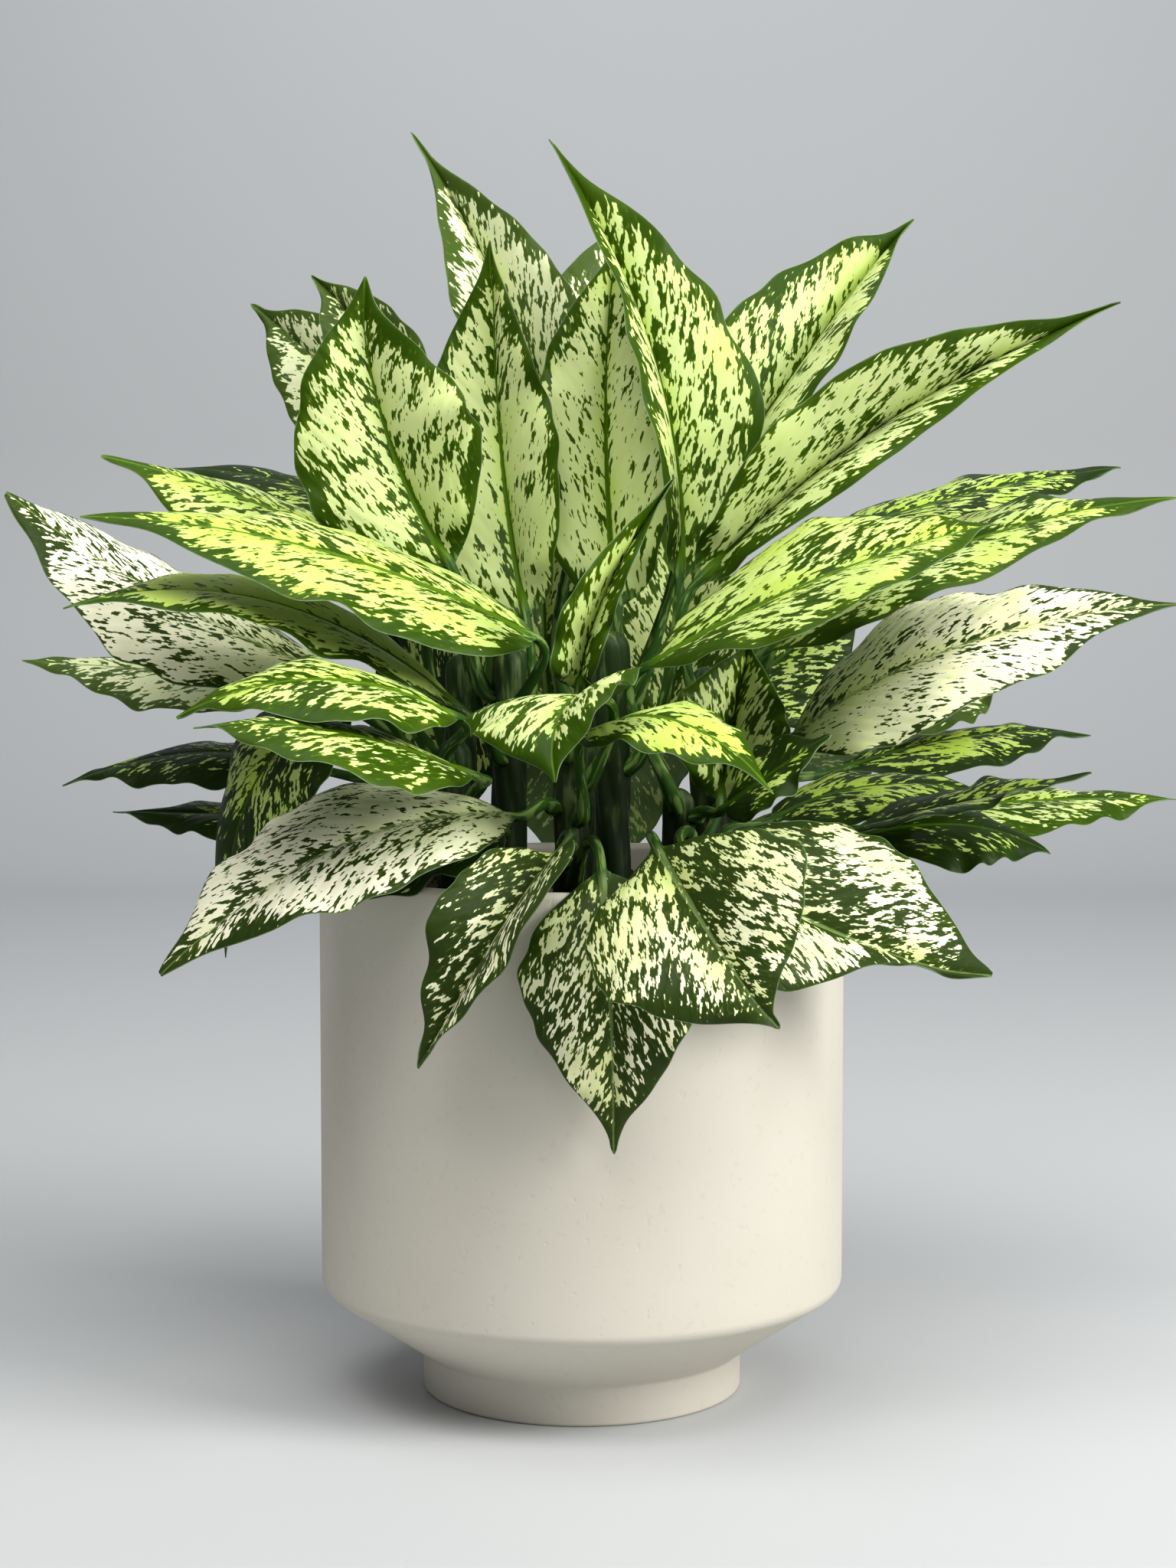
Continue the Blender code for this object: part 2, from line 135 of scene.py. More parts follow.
LEAVES: tuple[LeafRow, ...] = (
    LeafRow("leaf_centre_1", "middle", 45, (47, 5, 137), (34, 25, 246), (-18, 20, 352),
            (66, 90), (35, 10), 45, Tone.LIME, out=70, sharp=(1.3, 1.5), fill=0.56, tint=0.4),
    LeafRow("leaf_centre_2", "middle", 50, (17, 28, 124), (12, 58, 227), (18, 55, 309),
            86, (-10, 10), 35, Tone.LIME, out=170, belly=0.33, fill=0.7, tint=0.35),
    LeafRow("leaf_centre_3", "middle_left", 45, (-27, 24, 119), (-41, 57, 217), (-43, 54, 307),
            90, (-25, 5), 35, Tone.LIME, out=150, belly=0.33, fill=0.64, tint=0.2),
    LeafRow("leaf_centre_4", "middle_left", 80, (-63, 10, 144), (-96, 20, 214), (-106, 15, 285),
            96, (-10, 0), 25, Tone.LIME, out=-90, fill=0.56, tint=0.05),
    LeafRow("leaf_centre_5", "front", 54, (-1, -55, 87), (12, -65, 133), (44, -70, 185),
            (48, 36), (-10, -5), 65, Tone.LIME, out=-10, belly=0.3, fill=0.58, tint=0.45),
    LeafRow("leaf_upper_1", "back", 70, (-6, 72, 194), (-41, 105, 283), (-89, 125, 372),
            80, (0, 15), 50, Tone.CREAM, sharp=1.8, out=-80, fill=0.6, tint=0.2),
    LeafRow("leaf_upper_2", "back", 85, (6, 85, 190), (9, 128, 262), (20, 148, 334),
            76, (-10, 25), 35, Tone.CREAM, out=150, fill=0.52, tint=0.3),
    LeafRow("leaf_upper_3", "back_left", 75, (-65, 60, 182), (-102, 105, 248), (-140, 125, 298),
            70, (-25, 20), 50, Tone.CREAM, out=60, fill=0.52, tint=0.3),
    LeafRow("leaf_upper_4", "back_left", 60, (-78, 80, 183), (-132, 140, 245), (-179, 168, 285),
            66, (-30, 15), 25, Tone.CREAM, sharp=1.6, out=170, fill=0.6, tint=0.1),
    LeafRow("leaf_upper_5", "back", 65, (63, 50, 174), (118, 85, 256), (170, 100, 323),
            88, (-20, 30), 50, Tone.LIME, out=80, fill=0.62, tint=0.3),
    LeafRow("leaf_upper_6", "right", 70, (55, -5, 136), (150, 0, 215), (259, -10, 267),
            (92, 76), (-5, 10), 65, Tone.LIME, sharp=1.5, out=-20, fill=0.6, tint=0.2),
    LeafRow("leaf_upper_7", "back", 50, (66, 90, 183), (96, 130, 212), (128, 155, 236),
            66, (-20, 60), 5, Tone.LIME, out=110, fill=0.42, tint=0.3),
    LeafRow("leaf_right_1", "front_right", 31, (28, -55, 96), (114, -80, 140), (190, -75, 162),
            (110, 86), (-45, 55), 10, Tone.LIME, out=-10, belly=0.44, fill=0.55, tint=0.7),
    LeafRow("leaf_right_2", "right", 50, (89, 12, 103), (185, 0, 155), (286, -10, 176),
            70, (-40, 55), 5, Tone.LIME, fill=0.56, tint=0.6),
    LeafRow("leaf_right_3", "right", 25, (98, -40, 63), (171, -75, 107), (274, -90, 128),
            92, (-45, 45), 5, Tone.IVORY, fill=0.66, tint=0.5),
    LeafRow("leaf_right_4", "back_right", 65, (125, 50, 159), (205, 80, 183), (277, 90, 194),
            70, (-20, 70), 0, Tone.DARK_AND_SHADED, fill=0.46, tint=0.6),
    LeafRow("leaf_right_5", "back_right", 25, (133, 82, 41), (202, 105, 57), (267, 115, 57),
            66, (-10, 75), -5, Tone.DARK_AND_SHADED, fill=0.5, tint=0.8),
    LeafRow("leaf_right_6", "back_right", 5, (163, 75, 20), (240, 95, 24), (310, 105, 24),
            66, (5, 75), 0, Tone.LIME, fill=0.5, tint=0.4),
    LeafRow("leaf_right_7", "right", 5, (128, -15, 18), (185, -25, 32), (241, -35, 47),
            56, (-65, 75), 15, Tone.DARK_AND_SHADED, fill=0.4, tint=0.5),
    LeafRow("leaf_right_8", "right", 12, (94, 25, 20), (148, 40, 36), (209, 40, 30),
            66, (-10, 75), 0, Tone.DARK_AND_SHADED, fill=0.42, tint=0.6),
    LeafRow("leaf_right_9", "back_right", -5, (139, 20, 13), (191, 20, 17), (230, 20, 2),
            70, (10, 70), -5, Tone.DARK_AND_SHADED, fill=0.28, tint=0.5),
    LeafRow("leaf_right_10", "back_right", 40, (146, 95, 62), (189, 125, 76), (227, 140, 92),
            60, (-15, 65), 5, Tone.CREAM, out=150, fill=0.5, tint=0.1),
    LeafRow("leaf_left_1", "middle_left", 70, (-22, -30, 110), (-126, -60, 152), (-230, -75, 165),
            100, (45, 60), 0, Tone.LIME, out=10, belly=0.32, fill=0.57, tint=0.8),
    LeafRow("leaf_left_2", "middle_left", 50, (-56, -30, 76), (-145, -50, 127), (-239, -70, 124),
            80, (60, 65), 5, Tone.LIME, fill=0.74, tint=0.85),
    LeafRow("leaf_left_3", "left", 50, (-122, 10, 92), (-200, 0, 129), (-274, -20, 179),
            96, (50, 45), -5, Tone.IVORY, belly=0.46, sharp=1.0, fill=0.6, tint=0.05),
    LeafRow("leaf_left_4", "middle_left", 60, (-75, 25, 136), (-158, 40, 174), (-238, 35, 199),
            76, (30, 55), -15, Tone.LIME, out=-110, fill=0.5, tint=0.6),
    LeafRow("leaf_left_5", "back_left", 50, (-102, 90, 164), (-155, 120, 188), (-219, 130, 196),
            60, (25, 70), 0, Tone.DARK_AND_SHADED, fill=0.32, tint=0.4),
    LeafRow("leaf_left_6", "left", 50, (-56, -80, 75), (-118, -114, 93), (-179, -122, 75),
            74, (30, 70), 0, Tone.LIME, out=-20, fill=0.5, tint=0.6),
    LeafRow("leaf_left_7", "left", 22, (-49, -95, 50), (-109, -140, 72), (-167, -150, 74),
            66, (60, 65), -5, Tone.LIME, out=20, rise=0.6, fill=0.46, tint=0.5),
    LeafRow("leaf_left_8", "left", 20, (-110, 0, 76), (-157, -10, 38), (-173, 10, -50),
            80, (-50, 20), 0, Tone.DARK_AND_SHADED, fill=0.4, tint=0.4),
    LeafRow("leaf_left_9", "back_left", 15, (-138, 50, 45), (-203, 80, 49), (-269, 90, 31),
            60, (-40, 70), -5, Tone.DARK_AND_SHADED, fill=0.36, tint=0.3),
    LeafRow("leaf_left_10", "back_left", 0, (-122, 40, 23), (-177, 60, 20), (-239, 70, 21),
            60, (-15, 75), 0, Tone.DARK_AND_SHADED, fill=0.28, tint=0.3),
    LeafRow("leaf_left_11", "back_left", 35, (-146, 60, 83), (-216, 90, 91), (-294, 110, 95),
            60, (-10, 65), -5, Tone.CREAM, fill=0.6, tint=0.0),
    LeafRow("leaf_front_1", "front_right", -5, (33, -118, 20), (57, -178, -16), (82, -195, -51),
            (106, 104), (-25, 35), 15, Tone.IVORY, out=-20, sharp=(2.0, 1.5), fill=0.48, tint=0.58),
    LeafRow("leaf_front_2", "front", -5, (9, -122, 10), (13, -145, -49), (14, -138, -115),
            78, (-5, 15), 8, Tone.IVORY, out=10, sharp=1.5, fill=0.46, tint=0.45),
    LeafRow("leaf_front_3", "front", 5, (-8, -108, 18), (-39, -145, -22), (-71, -140, -78),
            (84, 62), (-35, 30), 45, Tone.IVORY, out=-20, fill=0.42, tint=0.45),
    LeafRow("leaf_front_4", "front_right", 14, (50, -105, 13), (119, -108, -22), (183, -118, -40),
            (106, 96), (15, 35), 15, Tone.IVORY, out=30, belly=(0.42, 0.28), sharp=(1.1, 5.0),
            fill=0.52, tint=0.5),
    LeafRow("leaf_front_5", "front", 30, (-31, -70, 29), (-109, -106, 18), (-188, -116, -41),
            (82, 92), (-20, 55), 5, Tone.IVORY, out=-60, belly=(0.42, 0.48), sharp=(1.15, 0.85),
            fill=0.62, tint=0.0),
    LeafRow("leaf_front_6", "left", -5, (-37, -60, 21), (-74, -86, 9), (-122, -95, -13),
            46, (-20, 75), 0, Tone.DARK_AND_SHADED, out=30, fill=0.5, tint=0.1),
    LeafRow("leaf_front_7", "front", 40, (11, -85, 83), (-8, -130, 80), (-12, -155, 49),
            (70, 100), (-55, 60), 15, Tone.LIME, out=50, fill=0.5, tint=0.2),
    LeafRow("leaf_front_8", "front", 25, (2, -70, 65), (41, -115, 75), (86, -140, 44),
            62, (-20, 75), 0, Tone.LIME, out=30, fill=0.62, tint=0.9),
    LeafRow("leaf_front_9", "front_right", 10, (65, -35, 34), (72, -25, 73), (81, -25, 111),
            76, (-5, 10), 50, Tone.LIME, out=90, fill=0.55, tint=0.5),
    LeafRow("leaf_front_10", "front_right", 26, (65, -74, 33), (88, -90, 52), (112, -95, 69),
            44, (-55, 35), 10, Tone.DARK_AND_SHADED, out=70, fill=0.4, tint=0.6),
    LeafRow("leaf_back_1", "back", 40, (-16, 90, 66), (-20, 108, 132), (-18, 132, 200),
            84, (-5, 20), 20, Tone.LIME, out=-150, fill=0.5, tint=0.4),
    LeafRow("leaf_back_2", "back", 28, (40, 92, 62), (48, 126, 114), (44, 160, 180),
            90, (0, 20), 20, Tone.LIME, fill=0.52, tint=0.3),
    LeafRow("leaf_back_3", "back", 12, (4, 92, 54), (4, 146, 26), (4, 184, -50),
            106, (180, 40), 15, Tone.DARK_AND_SHADED, fill=0.32, tint=0.3),
    LeafRow("leaf_back_4", "back_left", 10, (-58, 96, 20), (-78, 130, 68), (-108, 166, 124),
            96, (-10, -20), 15, Tone.DARK_AND_SHADED, fill=0.44, tint=0.3),
    LeafRow("leaf_back_5", "back_right", 15, (80, 90, 34), (118, 148, 42), (160, 196, 14),
            90, (180, 75), 15, Tone.DARK_AND_SHADED, fill=0.36, tint=0.3),
    LeafRow("leaf_back_6", "back_right", 48, (76, 114, 70), (108, 152, 98), (156, 184, 128),
            90, (10, 20), 15, Tone.DARK_AND_SHADED, out=180, fill=0.42, tint=0.4),
)


class Signal:
    """A socket of a shader tree, on which arithmetic adds Math nodes."""

    def __init__(self, tree: "Finish", socket: bpy.types.NodeSocket) -> None:
        """Wraps a socket.

        Args:
            tree: the finish that the socket belongs to.
            socket: an output socket.
        """
        self.tree = tree
        self.socket = socket

    def __add__(self, other: "Signal | float") -> "Signal":
        """The sum."""
        return self.tree.maths("ADD", self, other)

    def __radd__(self, other: float) -> "Signal":
        """The sum, from the right."""
        return self.tree.maths("ADD", other, self)

    def __sub__(self, other: "Signal | float") -> "Signal":
        """The difference."""
        return self.tree.maths("SUBTRACT", self, other)

    def __rsub__(self, other: float) -> "Signal":
        """The difference, from the right."""
        return self.tree.maths("SUBTRACT", other, self)

    def __mul__(self, other: "Signal | float") -> "Signal":
        """The product."""
        return self.tree.maths("MULTIPLY", self, other)

    def __rmul__(self, other: float) -> "Signal":
        """The product, from the right."""
        return self.tree.maths("MULTIPLY", other, self)

    def __truediv__(self, other: "Signal | float") -> "Signal":
        """The quotient."""
        return self.tree.maths("DIVIDE", self, other)

    def __rtruediv__(self, other: float) -> "Signal":
        """The quotient, from the right."""
        return self.tree.maths("DIVIDE", other, self)

    def __abs__(self) -> "Signal":
        """The absolute value."""
        return self.tree.maths("ABSOLUTE", self)

    def sine(self) -> "Signal":
        """The sine, of an angle in radians."""
        return self.tree.maths("SINE", self)

    def rise(self, low: float, high: float) -> "Signal":
        """A smooth step.

        Args:
            low: where the step starts to leave 0, or 1 if it is above `high`.
            high: where it reaches the other end.

        Returns:
            A signal from 0 to 1, or from 1 to 0 if `low` is above `high`.
        """
        ends = {"From Min": min(low, high), "From Max": max(low, high)}
        falls = low > high
        ends |= {"To Min": float(falls), "To Max": float(not falls), "Value": self}
        return self.tree.add("ShaderNodeMapRange", {"interpolation_type": "SMOOTHSTEP"}, ends)


Input = Signal | float | Colour


class Finish:
    """A material's shader tree, from the socket values up to one Principled shader."""

    def __init__(self, name: str) -> None:
        """Starts an empty material.

        Args:
            name: the material's name.
        """
        self.material = bpy.data.materials.new(name)
        self.material.use_nodes = True
        self.nodes = self.material.node_tree.nodes
        self.links = self.material.node_tree.links
        self.shader = self.nodes["Principled BSDF"]

    def add(self, kind: str, settings: dict[str, object], inputs: dict[str | int, Input],
            output: str | int = 0) -> Signal:
        """Adds one node.

        Args:
            kind: the node's type.
            settings: attributes, which are set first.
            inputs: a value or a link for each socket, by name or by number.
            output: the output socket that is wanted.

        Returns:
            The output socket as a signal.
        """
        node = self.nodes.new(kind)
        for name, value in settings.items():
            setattr(node, name, value)
        for key, value in inputs.items():
            self.feed(node.inputs[key], value)
        return Signal(self, node.outputs[output])

    def feed(self, socket: bpy.types.NodeSocket, value: Input) -> None:
        """Links a signal to a socket, or sets the socket's value.

        Args:
            socket: an input socket.
            value: the signal, number or colour for it.
        """
        if isinstance(value, Signal):
            self.links.new(value.socket, socket)
        elif isinstance(value, tuple) and socket.type == "RGBA":
            socket.default_value = (*value, 1.0)
        else:
            socket.default_value = value

    def maths(self, operation: str, *values: Input) -> Signal:
        """A Math node on these values."""
        return self.add("ShaderNodeMath", {"operation": operation}, dict(enumerate(values)))

    def vector(self, x: Input, y: Input, z: Input) -> Signal:
        """A vector of three signals or numbers."""
        return self.add("ShaderNodeCombineXYZ", {}, {0: x, 1: y, 2: z})

    def parts(self, vector: Signal) -> tuple[Signal, Signal, Signal]:
        """Splits a vector.

        Args:
            vector: a vector signal.

        Returns:
            Its three components.
        """
        first = self.add("ShaderNodeSeparateXYZ", {}, {0: vector})
        outputs = first.socket.node.outputs
        return first, Signal(self, outputs[1]), Signal(self, outputs[2])

    def attribute(self, name: str) -> tuple[Signal, Signal, Signal]:
        """The three components of one of the piece's own attributes."""
        return self.parts(self.add("ShaderNodeAttribute", {"attribute_name": name}, {}, "Vector"))

    def object_place(self) -> Signal:
        """The point in the model's frame, in metres."""
        return self.add("ShaderNodeTexCoord", {}, {}, "Object")

    def grain(self, place: Signal, scale: float = 1.0, detail: float = 2.0, roughness: float = 0.5) -> Signal:
        """Noise about zero.

        Args:
            place: where the noise is read.
            scale: its scale.
            detail: how many finer layers it has.
            roughness: how strong each finer layer is.

        Returns:
            The noise, mostly from -0.3 to 0.3.
        """
        sockets = {"Vector": place, "Scale": scale, "Detail": detail, "Roughness": roughness}
        return self.add("ShaderNodeTexNoise", {"noise_dimensions": "3D"}, sockets, "Fac") - 0.5

    def mix(self, share: Input, first: Input, second: Input) -> Signal:
        """A colour between two, at this share of the second."""
        return self.add("ShaderNodeMix", {"data_type": "RGBA"}, {0: share, 6: first, 7: second}, 2)

    def weigh(self, signals: tuple[Signal, ...], weights: tuple[float, ...]) -> Signal:
        """Adds signals up.

        Args:
            signals: at least one signal.
            weights: a factor for each.

        Returns:
            The sum of the signals, each times its factor.
        """
        first, *others = (signal * weight for signal, weight in zip(signals, weights, strict=True))
        for other in others:
            first = first + other
        return first

    def bump(self, height: Signal) -> None:
        """Feeds a height in metres to the shader's normal."""
        sockets = {"Height": height, "Strength": 1.0, "Distance": 1.0}
        self.feed(self.shader.inputs["Normal"], self.add("ShaderNodeBump", {}, sockets))

    def dress(self, **sockets: Input) -> Material:
        """Sets the shader's sockets.

        Args:
            **sockets: a value or a signal for each socket, with _ for each space in its name.

        Returns:
            The material.
        """
        for name, value in sockets.items():
            self.feed(self.shader.inputs[name.replace("_", " ")], value)
        return self.material


@dataclass(frozen=True)
class LeafFinish:
    """A variegated leaf: pale patches and flecks drawn out along the side veins, on green.

    Lengths are in millimetres, and heights of the relief in metres. Flecks come in four sizes, `blotch`,
    `streak`, `dot` and `grit`, each given across and along the side veins. `inner` and `outer` weigh these
    four, by the midrib and in the band along the margin. A `_loss` makes pale patches rarer, and a `_stray`
    is how far noise moves an edge. `warmth` weighs the leaf's own tint, its regions, its blotches and the
    closeness to the midrib; `relief` the streaks, blotches and regions; and `roughening` the streaks, the
    underside and the blotches.
    """

    tone: Tone
    ground: Colour
    ground_light: Colour
    patch: Colour
    patch_tint: Colour
    base_tint: Colour
    base_share: float
    rib: Colour
    rib_pale: float
    stalk: Colour = (0.022, 0.064, 0.007)
    stalk_pale: Colour = (0.13, 0.21, 0.05)
    # painted highlight: the pale green of the lit rim along the leaf's very margin
    edge: Colour = (0.20, 0.29, 0.15)
    rim_highlight_share: float = 0.6
    underside: Colour = (0.15, 0.24, 0.08)
    underside_share: float = 0.45
    blotch: Two = (11.0, 8.0)
    streak: Two = (4.2, 4.0)
    dot: Two = (4.4, 2.1)
    grit: Two = (1.9, 1.0)
    mottle: Two = (14.0, 1.8)
    region: float = 30.0
    inner: Weights = (1.8, 3.0, 1.4, 1.1)
    outer: Weights = (1.2, 0.8, 4.4, 0.8)
    region_weight: float = 1.6
    fill_weight: float = 2.6
    band: float = 10.0
    band_stray: float = 16.0
    band_loss: float = 0.95
    side_stray: float = 6.0
    side_loss: float = 0.3
    tip_loss: float = 0.7
    hem: float = 2.2
    hem_end: float = 0.3
    hem_stray: float = 2.0
    hem_loss: float = 0.85
    patch_edge: float = 0.035
    olive_share: float = 0.55
    cloud_stray: float = 0.3
    cloud_share: float = 0.3
    middle_stray: float = 9.0
    warmth: Weights = (0.8, 1.1, 0.5, 0.3)
    base_stray: float = 0.7
    rib_width: float = 1.0
    rib_end: float = 0.45
    rib_swell: float = 1.4
    rib_stray: float = 0.9
    rib_edge: float = 0.3
    rim_highlight_stray: float = 0.25
    vein_slope: float = 1.15
    vein_curve: float = 0.005
    vein_gap: float = 10.5
    vein_stray: float = 3.0
    vein_height: float = 0.00008
    relief: Three = (0.00012, 0.00025, 0.0012)
    roughness: float = 0.46
    roughening: Three = (0.2, 0.2, 0.1)
    specular: float = 0.10

    def build(self) -> Material:
        """Makes the material.

        Returns:
            The material, with its shader tree.
        """
        t = Finish(self.tone.value)
        along, across, margin = (part * (1.0 / MM) for part in t.attribute("leaf_place"))
        under, blade, fill = t.attribute("leaf_kind")
        seed, tint, length = t.attribute("leaf_seed")
        reach = abs(across)
        vein = along - reach * self.vein_slope - reach * reach * self.vein_curve

        def flecks(size: Two, offset: float, detail: float) -> Signal:
            """Noise with grains of this size across and along the side veins."""
            return t.grain(t.vector(vein / size[0], across / size[1], seed + offset), detail=detail)

        blotches = flecks(self.blotch, offset=0.0, detail=1.6)
        streaks = flecks(self.streak, offset=7.3, detail=0.8)
        dots = flecks(self.dot, offset=11.9, detail=0.5)
        grit = flecks(self.grit, offset=17.7, detail=0.0)
        regions = t.grain(t.vector(along / self.region, across / self.region, seed + 3.1), detail=1.0)
        layers = (blotches, streaks, dots, grit)
        inner, outer = t.weigh(layers, self.inner), t.weigh(layers, self.outer)
        in_band = (margin + regions * self.band_stray).rise(self.band, 0.0)
        by_rib = (reach + blotches * self.side_stray).rise(6.0, 0.8)
        in_hem = (margin + dots * self.hem_stray).rise(self.hem, self.hem_end)
        field = inner + (outer - inner) * in_band + regions * self.region_weight
        field = field + (fill - 0.5) * self.fill_weight - in_band * self.band_loss - by_rib * self.side_loss
        field = field - length.rise(0.74, 1.0) * self.tip_loss - in_hem * self.hem_loss
        pale = field.rise(-self.patch_edge, self.patch_edge)

        olive = field.rise(-0.5, -0.03) * self.olive_share
        cloudy = (regions + streaks * self.cloud_stray).rise(-0.15, 0.3) * self.cloud_share
        green = t.mix(olive + cloudy, self.ground, self.ground_light)
        middle = (reach + blotches * self.middle_stray).rise(13.0, 1.0)
        warm = t.weigh((tint, regions, blotches, middle), self.warmth)
        cream = t.mix(warm.rise(0.06, 1.01), self.patch, self.patch_tint)
        base = (length + regions * self.base_stray).rise(0.5, 0.1)
        cream = t.mix(base * self.base_share, cream, self.base_tint)
        colour = t.mix(pale, green, cream)
        half_rib = self.rib_width * (self.rib_end + length.rise(0.8, 0.0) * self.rib_swell)
        rib = (reach + streaks * self.rib_stray - half_rib).rise(self.rib_edge, -self.rib_edge)
        colour = t.mix(rib * (1.0 - pale * self.rib_pale), colour, self.rib)
        # painted highlight: the last half millimetre of the margin is paled like a lit rim
        edge = (margin + streaks * self.rim_highlight_stray).rise(0.45, 0.12)
        colour = t.mix(edge * self.rim_highlight_share, colour, self.edge)
        colour = t.mix(under * self.underside_share, colour, self.underside)
        mottle = t.grain(t.vector(along / self.mottle[0], across / self.mottle[1], seed))
        stalk = t.mix(mottle.rise(-0.01, 0.12), self.stalk, self.stalk_pale)
        colour = t.mix(blade, stalk, colour)

        side_veins = (vein * (math.tau / self.vein_gap) + blotches * self.vein_stray).sine()
        swell = side_veins * self.vein_height * reach.rise(0.7, 14.0) * blade
        t.bump(swell + t.weigh((streaks, blotches, regions), self.relief))
        rough = self.roughness + t.weigh((streaks, under, blotches), self.roughening)
        return t.dress(Base_Color=colour, Roughness=rough, Specular_IOR_Level=self.specular)


@dataclass(frozen=True)
class CeramicFinish:
    """Matte off-white glaze with fine pits and a faint speckle.

    `relief` gives the heights of its clouds, tooth and pits in metres; `roughening` weighs tooth and clouds.
    """

    body: Colour = (0.58, 0.548, 0.470)
    warm: Colour = (0.54, 0.505, 0.420)
    warm_share: float = 0.55
    speck: Colour = (0.39, 0.35, 0.28)
    pit_share: float = 0.08
    spot_share: float = 0.12
    relief: Three = (0.0008, 0.00004, -0.00008)
    roughness: float = 0.62
    roughening: Two = (0.2, 0.1)

    def build(self) -> Material:
        """Makes the material.

        Returns:
            The material, with its shader tree.
        """
        t = Finish("ceramic")
        place = t.object_place()
        cloud = t.grain(place, scale=14.0, detail=3.0)
        tooth = t.grain(place, scale=420.0, detail=3.0, roughness=0.7)
        pits = t.grain(place, scale=190.0, detail=1.0)
        spots = t.grain(place, scale=260.0, detail=0.0)
        pit = (pits + cloud * 0.15).rise(0.19, 0.27)
        spot = (spots + cloud * 0.1).rise(0.23, 0.27)
        colour = t.mix(cloud.rise(-0.15, 0.3) * self.warm_share, self.body, self.warm)
        colour = t.mix(pit * self.pit_share + spot * self.spot_share, colour, self.speck)
        t.bump(t.weigh((cloud, tooth, pit), self.relief))
        rough = self.roughness + t.weigh((tooth, cloud), self.roughening)
        return t.dress(Base_Color=colour, Roughness=rough, Coat_Weight=0.04, Coat_Roughness=0.4)


@dataclass(frozen=True)
class SoilFinish:
    """Dark potting soil with paler fibres. `relief` gives the heights of clods and fibres in metres."""

    dark: Colour = (0.022, 0.015, 0.010)
    light: Colour = (0.095, 0.062, 0.038)
    fibre: Colour = (0.24, 0.17, 0.10)
    fibre_share: float = 0.7
    relief: Two = (0.004, 0.0008)
    roughness: float = 0.95

    def build(self) -> Material:
        """Makes the material.

        Returns:
            The material, with its shader tree.
        """
        t = Finish("soil")
        place = t.object_place()
        clods = t.grain(place, scale=90.0, detail=4.0, roughness=0.7)
        fibres = t.grain(place, scale=330.0)
        colour = t.mix(clods.rise(-0.2, 0.25), self.dark, self.light)
        colour = t.mix(fibres.rise(0.16, 0.26) * self.fibre_share, colour, self.fibre)
        t.bump(t.weigh((clods, fibres), self.relief))
        rough = self.roughness - clods * 0.2
        return t.dress(Base_Color=colour, Roughness=rough, Specular_IOR_Level=0.3)


@dataclass(frozen=True)
class CaneFinish:
    """A cane wrapped in green leaf sheaths, streaked paler and brown, with painted shade that darkens it
    towards the soil.

    Lengths are in metres: `painted_shade_run` gives the heights over the ground between which the painted
    shade darkens the cane.
    """

    green: Colour = (0.014, 0.034, 0.005)
    pale: Colour = (0.085, 0.13, 0.035)
    dry: Colour = (0.09, 0.07, 0.035)
    dry_share: float = 0.4
    # painted shade: the near-black green that the cane fades to towards the soil, where the foliage shades it
    dark: Colour = (0.003, 0.007, 0.001)
    painted_shade_run: Two = (0.335, 0.265)
    painted_shade_stray: float = 0.05
    painted_shade_share: float = 0.75
    drawn_out: float = 0.12
    relief: float = 0.0005
    roughness: float = 0.55

    def build(self) -> Material:
        """Makes the material.

        Returns:
            The material, with its shader tree.
        """
        t = Finish("cane")
        place = t.object_place()
        x, y, height = t.parts(place)
        streaks = t.grain(t.vector(x, y, height * self.drawn_out), scale=330.0)
        patches = t.grain(place, scale=55.0)
        colour = t.mix((streaks * 1.4 + patches).rise(0.0, 0.35), self.green, self.pale)
        colour = t.mix((patches - streaks).rise(0.24, 0.4) * self.dry_share, colour, self.dry)
        # painted shade: the cane darkens by height towards the soil
        low = (height + patches * self.painted_shade_stray).rise(*self.painted_shade_run)
        colour = t.mix(low * self.painted_shade_share, colour, self.dark)
        t.bump(streaks * self.relief)
        rough = self.roughness + streaks * 0.3
        return t.dress(Base_Color=colour, Roughness=rough, Specular_IOR_Level=0.2)


@dataclass(frozen=True)
class FloorFinish:
    """A plain pale floor and backdrop."""

    colour: Colour = (0.47, 0.48, 0.49)

    def build(self) -> Material:
        """Makes the material."""
        t = Finish("floor")
        return t.dress(Base_Color=self.colour, Roughness=0.6)


def placed(name: str, bm: bmesh.types.BMesh, material: Material, sharp_above: float = 60.0) -> Piece:
    """Turns a bmesh into a piece at the origin.

    Args:
        name: the piece's name.
        bm: its mesh, which is freed.
        material: its finish.
        sharp_above: edges that turn more than this many degrees stay sharp.

    Returns:
        The piece.
    """
    bmesh.ops.recalc_face_normals(bm, faces=bm.faces)
    mesh = bpy.data.meshes.new(name)
    bm.to_mesh(mesh)
    bm.free()
    mesh.shade_smooth()
    mesh.set_sharp_from_angle(angle=math.radians(sharp_above))
    mesh.materials.append(material)
    piece = bpy.data.objects.new(name, mesh)
    bpy.context.scene.collection.objects.link(piece)
    return piece


